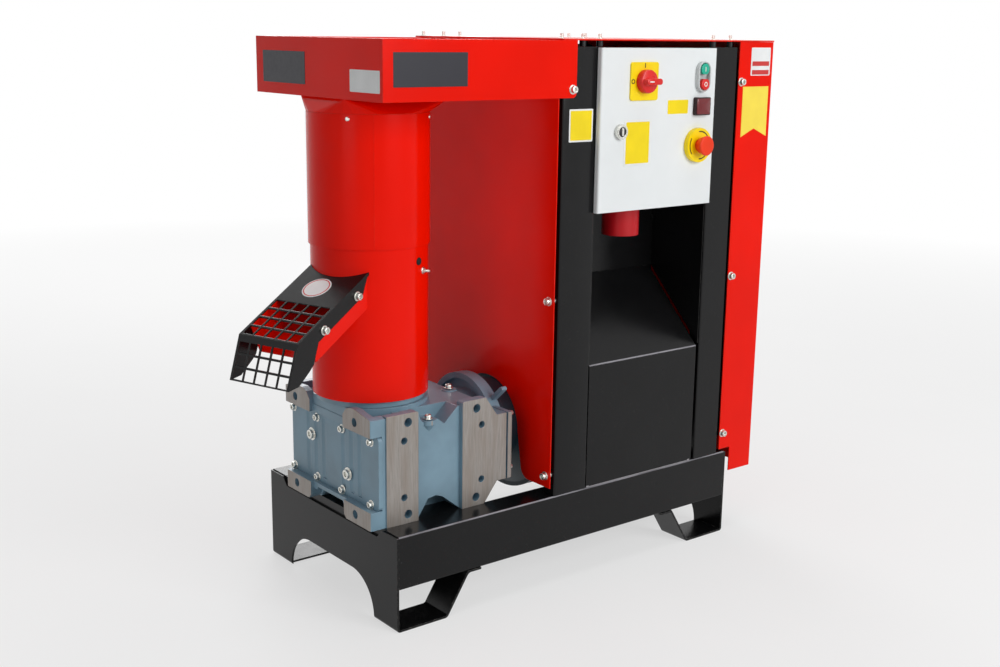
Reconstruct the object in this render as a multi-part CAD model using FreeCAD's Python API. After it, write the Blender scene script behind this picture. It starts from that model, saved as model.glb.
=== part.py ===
import FreeCAD, Part
import math
import os

V = FreeCAD.Vector

# Driving dimensions in millimetres. X runs from the gearbox end to the cabinet end,
# Y from the operating side to the rear, Z up from the floor.
GAP = 0.3
FRAME_SHEET = 4.0
POST_SHEET = 3.0
COVER_SHEET = 2.0
BEAM_BEND = 3.5
COVER_BEND = 2.5

BASE_LENGTH = 838.0
BASE_WIDTH = 458.0
FRAME_TOP = 180.0
BEAM_BOTTOM = 80.0
BEAM_LIP = 54.0
BEAM_FOOT_LIP = 30.0
FOOT_WIDTH = 70.0
FOOT_BEND = 6.0
STRAP_BEND = 10.0
FOOT_FLAT = 109.0
FOOT_REACH = 160.0
FOOT_TAB = 26.0
ARCH_RADIUS = 75.0
ARCH_TOP = 75.0
ARCH_FLAT = 154.0
EAR_WIDTH = 57.0
EAR_SLANT = 8.0
EAR_DROP = 2.0
NOTCH_DEPTH = 16.0
BED_END = 228.0
BED_THICK = 7.7
BED_RIB = 6.0
BED_RIB_DEPTH = 80.0

GEAR_FRONT = 49.0
GEAR_WIDTH = 306.0
GEAR_END = -21.0
GEAR_HEIGHT = 206.0
PAD_PROUD = 9.0
PAD_START = 32.0
PAD_WIDTH = 68.0
FAR_PAD_START = 198.0
FAR_PAD_FLAT = 51.0
WAIST = 277.0
SHOULDER = 305.0
FLANGE_BACK = 313.0
FLANGE_THICK = 9.0
FLANGE_LOW = 71.0
FLANGE_HIGH = 59.0
BOLT_RADIUS = 8.2
DOWEL_RADIUS = 6.6
BOLT_EDGE = 17.0
DOWEL_EDGE = 50.0
BOLT_DEPTH = 18.0
LUG_WIDTH = 94.0
LUG_HUMP = 7.0
LUG_THICK = 14.0
LUG_SIDE = 3.0
LUG_BOLT = 55.0
FAR_LUG_BOLT = 41.0
POCKET_DEPTH = 14.0
POCKET_REACH = 71.0
RIM = 15.0
RIM_RISE = 15.0
SCOOP_DEPTH = 46.0
BOSS_RADIUS = 13.5
TUNNEL_RISE = 36.0
CHANNEL_RISE = 26.0
COVER_FACE = -5.0
COVER_THICK = 8.0
COVER_CORNER = 9.0
END_COVER_RISE = 34.0
END_COVER_HEIGHT = 137.0
FLUTE_RADIUS = 14.0
FLUTE_DEPTH = 2.2
FLUTE_PITCH = 28.0
MOTOR_HEIGHT = 290.0
INPUT_OFFSET = 11.0
ADAPTOR_RADIUS = 106.0
ADAPTOR_END = 299.7
ADAPTOR_THICK = 24.7
ADAPTOR_RIM = 12.0
ADAPTOR_LUG = 41.0
ADAPTOR_LUG_THICK = 8.0
ADAPTOR_LUG_TURN = 138.0
MOTOR_RADIUS = 141.0
MOTOR_FLANGE_RADIUS = 98.0
MOTOR_FLANGE_THICK = 12.0
MOTOR_SHIELD_LENGTH = 80.0
MOTOR_LENGTH = 320.0
FIN_DEPTH = 14.0
FIN_THICK = 3.0
FIN_COUNT = 36
COWL_LENGTH = 84.0
COWL_RADIUS = 137.0
TERMINAL_LENGTH = 110.0
TERMINAL_HEIGHT = 62.0

DRUM_X = 73.0
DRUM_Y = 197.0
LOWER_RADIUS = 106.5
LOWER_WALL = 5.0
RING_HEIGHT = 11.3
RING_RADIUS = 100.0
DRUM_FLOOR = 8.0
DRUM_SEAM = 672.0
UPPER_RADIUS = 109.8
UPPER_WALL = 2.5

CHUTE_TURN = -160.9
CHUTE_SLOPE = 26.5
GUARD_WIDTH = 131.8
GUARD_BACK = 88.7
GUARD_BACK_Z = 631.9
GUARD_BEND = 270.5
GUARD_OUT = 296.2
GUARD_OUT_Z = 466.2
GUARD_SHEET = 2.0
GRID_PITCH = 25.0
GRID_BAR = 3.4
CHUTE_DROP = 63.0
CHUTE_END = 246.0

SHAFT_RADIUS = 25.0
DIE_LOW = 598.0
DIE_THICK = 30.0
DIE_RADIUS = 99.0
DIE_HOLE_RADIUS = 4.0
DISC_DROP = 50.0
DISC_THICK = 6.0
ROLLER_RADIUS = 34.0
ROLLER_WIDTH = 44.0
ROLLER_OFFSET = 62.0
ROLLER_SHAFT_RADIUS = 13.0

HOPPER_TOP = 1031.0
HOPPER_HEIGHT = 101.0
HOPPER_X0 = -25.0
HOPPER_WING = 29.0
HOPPER_BACK = 423.0
HOPPER_LIP = 16.0
THROAT_HEIGHT = 25.3
THROAT_NEAR = 93.0
THROAT_FAR = 128.0
THROAT_HALF = 73.0

LEFT_COVER_X = 300.0
LEFT_COVER_EDGE = 10.0
LEFT_COVER_RISE = 23.0
RIGHT_COVER_GAP = 4.0
RIGHT_COVER_DEPTH = 100.0
RIGHT_COVER_LOW = 188.0
RIGHT_SKIRT_X = 33.0
RIGHT_SKIRT_LOW = 135.0
TOP_COVER_THICK = 3.0
STUD_RADIUS = 3.0
STUD_RISE = 9.0
STUD_EDGE = 14.0
LEFT_STUD = 14.0
LEFT_STUD_INNER = 55.0
LEFT_STUD_OUTER = 36.0
RIGHT_STUD = 23.0
RIGHT_STUD_OUTER = 26.0

POST_DROP = 11.0
POST_DEPTH = 28.0
POST_BRACKET = 13.0
LEFT_POST_X = 358.0
LEFT_POST_WIDTH = 82.0
RIGHT_POST_X = 740.0
RIGHT_POST_WIDTH = 70.0
PANEL_MARGIN = 9.0
PANEL_LOW = 183.0
RECESS_OPENING = 294.0
RECESS_DEPTH = 147.0

BOX_DROP = 2.0
BOX_HEIGHT = 299.0
BOX_FRONT = 0.5
BOX_SHEET = 1.5
BOX_RIM = 26.0
DOOR_HEIGHT = 300.0
DOOR_FACE = -12.0
DOOR_BACK = -1.0
DOOR_SKIN = 1.5
DOOR_RIM = 14.0
HINGE_INSET = 6.5
HINGE_Y = -7.5
HINGE_EDGE = 45.0
HINGE_LENGTH = 30.0
HINGE_PIN = 1.6
HINGE_KNUCKLE = 2.6
HINGE_LEAF = 1.2
SWITCH_PLATE = 70.0
SWITCH_KNOB_RADIUS = 22.0
BEZEL_WIDTH = 48.0
BEZEL_HEIGHT = 58.0
BUTTON_RADIUS = 11.0
LAMP_WIDTH = 40.0
LAMP_HEIGHT = 34.0
STOP_RING_RADIUS = 33.0
STOP_STEM_RADIUS = 12.0
STOP_HEAD_RADIUS = 20.0
LOCK_RADIUS = 14.0
RAIL_DROP = 113.6
RAIL_INSET = 34.7
RAIL_LENGTH = 230.0
RAIL_HEIGHT = 34.0
RAIL_DEPTH = 8.0
CONTACTOR_WIDTH = 45.0
CONTACTOR_HEIGHT = 84.0
CONTACTOR_DEPTH = 80.0
RELAY_DEPTH = 68.0
TERMINAL_ROW_DEPTH = 42.0
TERMINAL_ROW_HEIGHT = 50.0
INLET_RADIUS = 36.0
INLET_WALL = 5.0
INLET_LENGTH = 57.0
INLET_DEPTH = 38.0

# Places that follow from the driving dimensions
MID_Y = BASE_WIDTH / 2
MID_X = BASE_LENGTH / 2
EAR_TOP = FRAME_TOP - EAR_DROP
GEAR_BACK = GEAR_FRONT + GEAR_WIDTH
GEAR_MID = GEAR_FRONT + GEAR_WIDTH / 2
GEAR_TOP = FRAME_TOP + GEAR_HEIGHT
MOTOR_Y = DRUM_Y - INPUT_OFFSET
END_COVER_LOW = FRAME_TOP + END_COVER_RISE
END_COVER_HIGH = END_COVER_LOW + END_COVER_HEIGHT
LOWER_BOTTOM = GEAR_TOP + RING_HEIGHT
HOPPER_LOW = HOPPER_TOP - HOPPER_HEIGHT
UPPER_TOP = HOPPER_LOW - THROAT_HEIGHT
POST_TOP = HOPPER_TOP - POST_DROP
LEFT_POST = (LEFT_POST_X, LEFT_POST_X + LEFT_POST_WIDTH)
RIGHT_POST = (RIGHT_POST_X, RIGHT_POST_X + RIGHT_POST_WIDTH)
HOPPER_BOX_X = LEFT_POST_X - 3.0
RIGHT_COVER_X = RIGHT_POST[1] + RIGHT_COVER_GAP
RIGHT_COVER_END = RIGHT_COVER_X + RIGHT_COVER_DEPTH
BOX_HIGH = POST_TOP - BOX_DROP
BOX_LOW = BOX_HIGH - BOX_HEIGHT
PANEL_BEND = BOX_LOW - RECESS_OPENING
DOOR_X = (LEFT_POST[1] - 2.5, RIGHT_POST_X - 1.5)
DOOR_HIGH = BOX_HIGH + 0.6
DOOR_LOW = DOOR_HIGH - DOOR_HEIGHT
SLOPE = math.tan(math.radians(CHUTE_SLOPE))

parts = {}


# Shared shapes
def box(x0, x1, y0, y1, z0, z1):
    return Part.makeBox(x1 - x0, y1 - y0, z1 - z0, V(x0, y0, z0))


def rod(x, y, z, radius, length, axis=V(0, 0, 1)):
    return Part.makeCylinder(radius, length, V(x, y, z), axis)


def prism(points, plane, low, high):
    place = {
        "yz": lambda a, b: V(low, a, b),
        "xz": lambda a, b: V(a, low, b),
        "xy": lambda a, b: V(a, b, low),
    }[plane]
    along = {"yz": V(high - low, 0, 0), "xz": V(0, high - low, 0), "xy": V(0, 0, high - low)}[plane]
    wire = Part.makePolygon([place(a, b) for a, b in points] + [place(*points[0])])
    return Part.Face(wire).extrude(along)


def fuse(shapes):
    out = shapes[0]
    for extra in shapes[1:]:
        out = out.fuse(extra)
    return out.removeSplitter()


def soften(shape, radius, wanted):
    edges = [e for e in shape.Edges if wanted(e)]
    if not edges:
        return shape
    return shape.makeFillet(radius, edges)


def runs_along(edge, direction):
    if not isinstance(edge.Curve, Part.Line):
        return False
    return abs(edge.Curve.Direction.dot(direction)) > 0.999


def mirror_y(shape, centre):
    return shape.mirror(V(0, centre, 0), V(0, 1, 0))


def mirror_x(shape, centre):
    return shape.mirror(V(centre, 0, 0), V(1, 0, 0))


# Base end plates, each with two strap feet
def end_plate():
    t = FRAME_SHEET
    notch = EAR_TOP - NOTCH_DEPTH
    ear_in, ear_out = EAR_WIDTH + EAR_SLANT, EAR_WIDTH - EAR_SLANT
    plate = prism(
        [
            (0, 0),
            (BASE_WIDTH, 0),
            (BASE_WIDTH, EAR_TOP),
            (BASE_WIDTH - ear_out, EAR_TOP),
            (BASE_WIDTH - ear_in, notch),
            (ear_in, notch),
            (ear_out, EAR_TOP),
            (0, EAR_TOP),
        ],
        "yz", 0, t)
    arch_low = ARCH_TOP - ARCH_RADIUS
    for side in (-1, 1):
        arc = rod(-1, MID_Y + side * ARCH_FLAT / 2, arch_low, ARCH_RADIUS, t + 2, V(1, 0, 0))
        plate = plate.cut(arc)
    plate = plate.cut(box(-1, t + 1, MID_Y - ARCH_FLAT / 2, MID_Y + ARCH_FLAT / 2, -1, ARCH_TOP))
    rise = BEAM_BOTTOM - GAP
    run = FOOT_REACH - FOOT_FLAT
    long = math.hypot(run, BEAM_BOTTOM)
    sx, sz = run / long, BEAM_BOTTOM / long
    ax, az = FOOT_FLAT - t * sz, t * sx
    inner_low = ax + (t - az) * sx / sz
    inner_high = ax + (rise - t - az) * sx / sz
    outer_high = FOOT_FLAT + rise * sx / sz
    strap = prism(
        [
            (0, 0),
            (FOOT_FLAT, 0),
            (outer_high - t * sx / sz, rise - t),
            (outer_high + FOOT_TAB, rise - t),
            (outer_high + FOOT_TAB, rise),
            (inner_high + t * sx / sz, rise),
            (inner_low, t),
            (0, t),
        ],
        "xz", 0, FOOT_WIDTH)
    strap = soften(
        strap, STRAP_BEND,
        lambda e: runs_along(e, V(0, 1, 0)) and e.BoundBox.ZMax < 0.01 and e.BoundBox.XMin > 1)
    strap = soften(
        strap, STRAP_BEND - t,
        lambda e: runs_along(e, V(0, 1, 0)) and abs(e.BoundBox.XMin - inner_low) < 0.01)
    under_bend = outer_high - t * sx / sz
    strap = soften(
        strap, STRAP_BEND,
        lambda e: runs_along(e, V(0, 1, 0)) and abs(e.BoundBox.XMin - under_bend) < 0.01)
    body = fuse([plate, strap, mirror_y(strap, MID_Y)])
    nose = box(-1, FOOT_BEND, -1, BASE_WIDTH + 1, -1, FOOT_BEND)
    nose = nose.cut(rod(FOOT_BEND, -2, FOOT_BEND, FOOT_BEND, BASE_WIDTH + 4, V(0, 1, 0)))
    return body.cut(nose)


def base():
    t = FRAME_SHEET
    parts["base_gearbox_end_plate"] = end_plate()
    parts["base_cabinet_end_plate"] = mirror_x(end_plate(), MID_X)
    lip = [
        (0, BEAM_BOTTOM),
        (BEAM_FOOT_LIP, BEAM_BOTTOM),
        (BEAM_FOOT_LIP, BEAM_BOTTOM + t),
        (t, BEAM_BOTTOM + t),
        (t, FRAME_TOP - t),
        (BEAM_LIP, FRAME_TOP - t),
        (BEAM_LIP, FRAME_TOP),
        (0, FRAME_TOP),
    ]
    beam = prism(lip, "yz", t + GAP, BASE_LENGTH - t - GAP)
    beam = soften(
        beam, BEAM_BEND,
        lambda e: runs_along(e, V(1, 0, 0)) and e.BoundBox.YMax < 0.01)
    parts["base_front_beam"] = beam
    parts["base_back_beam"] = mirror_y(beam, MID_Y)
    side = BEAM_LIP + GAP
    high = FRAME_TOP - GAP
    top = box(t + GAP, BED_END, side, BASE_WIDTH - side, high - BED_THICK, high)
    low = FRAME_TOP - BED_RIB_DEPTH
    rib = box(0, BED_RIB, t + GAP, BASE_WIDTH - t - GAP, low, FRAME_TOP - t - GAP)
    ribs = [rib.translated(V(t + GAP, 0, 0)), rib.translated(V(BED_END - BED_RIB, 0, 0))]
    parts["gearbox_bed"] = fuse([top] + ribs)


# Right-angle gearbox casting: X places are measured from its free end
def gearbox():
    f, b, e, top, low = GEAR_FRONT, GEAR_BACK, GEAR_END, GEAR_TOP, FRAME_TOP
    mid = GEAR_MID
    wall = f + PAD_PROUD
    deck = top - 8
    body_x = COVER_FACE + COVER_THICK + GAP
    waist, shoulder = e + WAIST, e + SHOULDER
    flange_low, flange_high = MOTOR_HEIGHT - FLANGE_LOW, MOTOR_HEIGHT + FLANGE_HIGH
    far_pad = e + FAR_PAD_START
    far_edge = far_pad + FAR_PAD_FLAT
    near_pad = e + PAD_START
    near_edge = near_pad + PAD_WIDTH

    core = prism(
        [
            (body_x, low),
            (far_edge - 4, low),
            (waist, flange_low),
            (shoulder, flange_low),
            (shoulder, flange_high),
            (waist, flange_high),
            (far_edge + 2, deck),
            (body_x, deck),
        ],
        "xz", wall, b - PAD_PROUD)
    core = soften(core, 6.0, lambda g: runs_along(g, V(0, 1, 0)) and g.BoundBox.XMin > far_pad)
    near = box(near_pad, near_edge, f, wall + 10, low, top)
    near = soften(
        near, 4.0,
        lambda g: runs_along(g, V(0, 1, 0)) and g.BoundBox.ZMin > deck and g.BoundBox.XMin > near_pad + 1)
    far = prism(
        [
            (far_pad, low),
            (far_edge, low),
            (waist + 2, flange_low),
            (shoulder - 5, flange_low),
            (shoulder - 5, flange_high),
            (waist, flange_high),
            (far_edge + 2, top),
            (far_pad, top),
        ],
        "xz", f, wall + 10)
    flange_x = e + FLANGE_BACK
    plate = box(flange_x - FLANGE_THICK, flange_x, f, b, flange_low, flange_high)
    pieces = [core, near, mirror_y(near, mid), far, mirror_y(far, mid), plate]

    side = box(e + 3, near_pad + 9, f + LUG_SIDE, f + 40, low, top - 4)
    side = side.cut(box(e - 1, body_x, f - 1, f + 60, END_COVER_LOW - GAP, END_COVER_HIGH + GAP))
    pieces += [side, mirror_y(side, mid)]
    s, w = f + LUG_SIDE, f + LUG_WIDTH
    upper_lug = prism(
        [
            (s, END_COVER_HIGH + GAP),
            (w, END_COVER_HIGH + GAP),
            (w, top - 11),
            (w - 11, top + LUG_HUMP - 5),
            (w - 26, top + LUG_HUMP),
            (w - 42, top + LUG_HUMP),
            (s + 8, top),
            (s, top - 3),
        ],
        "yz", e, body_x + 6)
    lower_lug = prism(
        [
            (s, low),
            (w - 8, low),
            (w - 1, low + 7),
            (w, END_COVER_LOW - GAP),
            (s, END_COVER_LOW - GAP),
        ],
        "yz", e, body_x + 6)
    for lug in (upper_lug, lower_lug):
        lug = soften(
            lug, 3.0,
            lambda g: runs_along(g, V(0, 0, 1)) and g.BoundBox.XMax < e + 0.1 and g.BoundBox.YMax < s + 0.1)
        pieces += [lug, mirror_y(lug, mid)]
    web = w - 5
    pieces.append(box(e + 7, body_x + 6, web, 2 * mid - web, END_COVER_HIGH + GAP, END_COVER_HIGH + RIM_RISE))
    pieces.append(box(e + 7, body_x + 6, web, 2 * mid - web, END_COVER_LOW - 14, END_COVER_LOW - GAP))
    seat = rod(DRUM_X, DRUM_Y, top - 22, RING_RADIUS + 6, 22)
    seat = seat.common(box(e + 8, flange_x, 0, BASE_WIDTH, 0, top + 1))

    axis = MOTOR_Y
    neck = Part.makeCone(
        ADAPTOR_RADIUS - 40, ADAPTOR_RADIUS - 30, 50, V(waist - 18, axis, MOTOR_HEIGHT), V(1, 0, 0))
    start = ADAPTOR_END - ADAPTOR_THICK
    bell = rod(start, axis, MOTOR_HEIGHT, ADAPTOR_RADIUS, ADAPTOR_THICK, V(1, 0, 0))
    bell = bell.cut(rod(start - 1, axis, MOTOR_HEIGHT, ADAPTOR_RADIUS - ADAPTOR_RIM, ADAPTOR_RIM + 1, V(1, 0, 0)))
    pieces += [neck, bell]
    half = ADAPTOR_LUG_THICK / 2
    rim_y = axis + ADAPTOR_RADIUS
    arm = box(
        ADAPTOR_END - ADAPTOR_RIM, ADAPTOR_END,
        rim_y - 10, rim_y + ADAPTOR_LUG, MOTOR_HEIGHT - half, MOTOR_HEIGHT + half)
    arm = soften(arm, half * 0.7, lambda g: runs_along(g, V(1, 0, 0)) and g.BoundBox.YMin > rim_y)
    arm.rotate(V(0, axis, MOTOR_HEIGHT), V(1, 0, 0), ADAPTOR_LUG_TURN)
    pieces.append(arm)
    solid = fuse(pieces)

    pocket = box(e + LUG_THICK, e + POCKET_REACH, f + RIM, w + 1, top - POCKET_DEPTH, top + LUG_HUMP + 1)
    for tool in (pocket, mirror_y(pocket, mid)):
        solid = solid.cut(tool)
    solid = solid.fuse(seat).removeSplitter()
    tunnel = prism(
        [
            (near_edge + 4, low - 1),
            (far_pad + 1, low - 1),
            (far_pad - 39, low + TUNNEL_RISE - 5),
            (far_pad - 53, low + TUNNEL_RISE),
            (near_edge + 27, low + TUNNEL_RISE - 3),
        ],
        "xz", f - 1, w - 38)
    channel = prism(
        [
            (w - 4, low - 1),
            (2 * mid - w + 4, low - 1),
            (2 * mid - w - 15, low + CHANNEL_RISE),
            (w + 15, low + CHANNEL_RISE),
        ],
        "yz", e - 1, far_pad)
    scoop = prism(
        [
            (near_edge + 4, top + 1),
            (near_edge + 10, top - 19),
            (near_edge + 15, top - 25),
            (near_edge + 49, top - 25),
            (near_edge + 63, top - 36),
            (far_pad + 4, top + 1),
        ],
        "xz", f - 1, f + SCOOP_DEPTH)
    for tool in (tunnel, mirror_y(tunnel, mid), channel, scoop, mirror_y(scoop, mid)):
        solid = solid.cut(tool)
    boss_x, boss_y = near_edge + 30, wall + 5
    boss = rod(boss_x, boss_y, top - 32, BOSS_RADIUS, 8)
    under = Part.makeCone(BOSS_RADIUS - 10, BOSS_RADIUS, 14, V(boss_x, boss_y, top - 46), V(0, 0, 1))
    solid = fuse([solid, boss, under, mirror_y(boss, mid), mirror_y(under, mid)])
    solid = fuse([solid, rod(far_pad + 45, mid - 46, deck - 6, 15.0, 8)])
    for x_bolt, x_dowel in ((near_pad + 46, near_pad + 37.5), (far_pad + 32, far_pad + 44)):
        rows = [
            (x_bolt, top - BOLT_EDGE, BOLT_RADIUS),
            (x_dowel, top - DOWEL_EDGE, DOWEL_RADIUS),
            (x_dowel, low + DOWEL_EDGE, DOWEL_RADIUS),
            (x_bolt, low + BOLT_EDGE, BOLT_RADIUS),
        ]
        for x, z, r in rows:
            hole = rod(x, f - 1, z, r, BOLT_DEPTH + 1, V(0, 1, 0))
            solid = solid.cut(hole).cut(mirror_y(hole, mid))
    for z in (top - BOLT_EDGE, low + BOLT_EDGE):
        for y in (f + LUG_BOLT, b - FAR_LUG_BOLT):
            solid = solid.cut(rod(e - 1, y, z, BOLT_RADIUS, LUG_THICK - 1, V(1, 0, 0)))
    parts["gearbox_housing"] = solid

    cover = box(COVER_FACE, COVER_FACE + COVER_THICK, f + 1, b - 1, END_COVER_LOW, END_COVER_HIGH)
    cover = soften(cover, COVER_CORNER, lambda g: runs_along(g, V(1, 0, 0)))
    length = END_COVER_HEIGHT - 20
    for side in (-1, 1):
        for k in range(3):
            y = mid + side * (FLUTE_PITCH * k + FLUTE_PITCH * 1.23)
            flute = rod(COVER_FACE + FLUTE_DEPTH - FLUTE_RADIUS, y, END_COVER_LOW + 10, FLUTE_RADIUS, length)
            cover = cover.cut(flute)
    parts["gearbox_end_cover"] = cover

    parts["gearbox_output_ring"] = rod(DRUM_X, DRUM_Y, top + GAP, RING_RADIUS, RING_HEIGHT - 2 * GAP)

    start = ADAPTOR_END + GAP
    along = V(1, 0, 0)
    core_radius = MOTOR_RADIUS - FIN_DEPTH * 0.6
    body_start = start + MOTOR_SHIELD_LENGTH
    body_length = MOTOR_LENGTH - MOTOR_SHIELD_LENGTH
    slope_start = start + MOTOR_SHIELD_LENGTH * 0.6
    neck_radius = MOTOR_FLANGE_RADIUS - 10
    flange = rod(start, MOTOR_Y, MOTOR_HEIGHT, MOTOR_FLANGE_RADIUS, MOTOR_FLANGE_THICK, along)
    shield = rod(start, MOTOR_Y, MOTOR_HEIGHT, neck_radius, slope_start - start, along)
    flare = Part.makeCone(
        neck_radius, core_radius, body_start - slope_start, V(slope_start, MOTOR_Y, MOTOR_HEIGHT), along)
    barrel = rod(body_start, MOTOR_Y, MOTOR_HEIGHT, core_radius, body_length, along)
    rim = rod(body_start, MOTOR_Y, MOTOR_HEIGHT, MOTOR_RADIUS, 2 * FIN_THICK, along)
    fins = []
    half = FIN_THICK / 2
    for k in range(FIN_COUNT):
        fin = box(
            body_start, start + MOTOR_LENGTH - 8,
            MOTOR_Y - half, MOTOR_Y + half, MOTOR_HEIGHT + MOTOR_RADIUS - FIN_DEPTH, MOTOR_HEIGHT + MOTOR_RADIUS)
        fin.rotate(V(0, MOTOR_Y, MOTOR_HEIGHT), along, k * 360.0 / FIN_COUNT)
        fins.append(fin)
    parts["motor_body"] = fuse([flange, shield, flare, barrel, rim] + fins)
    cowl_x = start + MOTOR_LENGTH + GAP
    cowl = rod(cowl_x, MOTOR_Y, MOTOR_HEIGHT, COWL_RADIUS, COWL_LENGTH, along)
    parts["motor_fan_cowl"] = soften(cowl, 8.0, lambda g: g.BoundBox.XMin > cowl_x + COWL_LENGTH - 1)
    bx = body_start + body_length * 0.2
    bz = MOTOR_HEIGHT + MOTOR_RADIUS
    half = TERMINAL_LENGTH / 2 - 3
    terminal = box(bx, bx + TERMINAL_LENGTH, MOTOR_Y - half, MOTOR_Y + half, bz + GAP, bz + TERMINAL_HEIGHT)
    parts["motor_terminal_box"] = soften(terminal, 6.0, lambda g: runs_along(g, V(0, 0, 1)))


# Pelletising drum with its die, rollers and drive shaft
def chute_frame(shape):
    shape.rotate(V(0, 0, 0), V(0, 0, 1), CHUTE_TURN)
    shape.translate(V(DRUM_X, DRUM_Y, 0))
    return shape


def guard_line(s):
    return GUARD_BACK_Z - (s - GUARD_BACK) * SLOPE


def drum():
    inner = LOWER_RADIUS - LOWER_WALL
    high = DRUM_SEAM - GAP
    tube = rod(DRUM_X, DRUM_Y, LOWER_BOTTOM, LOWER_RADIUS, high - LOWER_BOTTOM)
    tube = tube.cut(rod(DRUM_X, DRUM_Y, LOWER_BOTTOM + DRUM_FLOOR, inner, high))
    tube = tube.cut(rod(DRUM_X, DRUM_Y, LOWER_BOTTOM - 1, SHAFT_RADIUS + GAP, DRUM_FLOOR + 2))
    half = GUARD_WIDTH / 2 - 8
    near, far = LOWER_RADIUS * 0.4, LOWER_RADIUS * 1.3
    window = prism(
        [
            (near, guard_line(near) - 8),
            (far, guard_line(far) - 8),
            (far, guard_line(far) - CHUTE_DROP + 6),
            (near, guard_line(near) - CHUTE_DROP + 6),
        ],
        "xz", -half, half)
    parts["lower_drum"] = tube.cut(chute_frame(window))
    upper = rod(DRUM_X, DRUM_Y, DRUM_SEAM, UPPER_RADIUS, UPPER_TOP - DRUM_SEAM)
    bore = rod(DRUM_X, DRUM_Y, DRUM_SEAM - 1, UPPER_RADIUS - UPPER_WALL, UPPER_TOP)
    parts["upper_drum"] = upper.cut(bore)
    parts["main_shaft"] = rod(DRUM_X, DRUM_Y, LOWER_BOTTOM, SHAFT_RADIUS, DIE_LOW - GAP - LOWER_BOTTOM)
    disc = rod(DRUM_X, DRUM_Y, DIE_LOW - DISC_DROP, DIE_RADIUS, DISC_THICK)
    parts["discharge_disc"] = disc.cut(rod(DRUM_X, DRUM_Y, LOWER_BOTTOM, SHAFT_RADIUS + GAP, DIE_LOW))
    die = rod(DRUM_X, DRUM_Y, DIE_LOW, DIE_RADIUS, DIE_THICK)
    step = 4 * DIE_HOLE_RADIUS
    for ring in range(3):
        radius = DIE_RADIUS - 17 - step * ring
        count = 22 - 4 * ring
        for k in range(count):
            a = 2 * math.pi * (k + 0.5) / count
            x = DRUM_X + radius * math.cos(a)
            y = DRUM_Y + radius * math.sin(a)
            die = die.cut(rod(x, y, DIE_LOW - 1, DIE_HOLE_RADIUS, DIE_THICK + 2))
    parts["die_plate"] = die
    axle_z = DIE_LOW + DIE_THICK + GAP + ROLLER_RADIUS
    axle = rod(DRUM_X - inner + 1.2, DRUM_Y, axle_z, ROLLER_SHAFT_RADIUS, 2 * (inner - 1.2), V(1, 0, 0))
    hub_half = ROLLER_OFFSET - ROLLER_WIDTH / 2 - 4
    hub = rod(DRUM_X - hub_half, DRUM_Y, axle_z, ROLLER_RADIUS - 10, 2 * hub_half, V(1, 0, 0))
    nut = rod(DRUM_X, DRUM_Y, axle_z, ROLLER_RADIUS - 14, ROLLER_RADIUS + 10)
    parts["roller_axle"] = fuse([axle, hub, nut])
    for name, side in (("roller_left", -1), ("roller_right", 1)):
        x = DRUM_X + side * ROLLER_OFFSET - ROLLER_WIDTH / 2
        wheel = rod(x, DRUM_Y, axle_z, ROLLER_RADIUS, ROLLER_WIDTH, V(1, 0, 0))
        bore = rod(x - 1, DRUM_Y, axle_z, ROLLER_SHAFT_RADIUS + GAP, ROLLER_WIDTH + 2, V(1, 0, 0))
        parts[name] = wheel.cut(bore)


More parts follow.
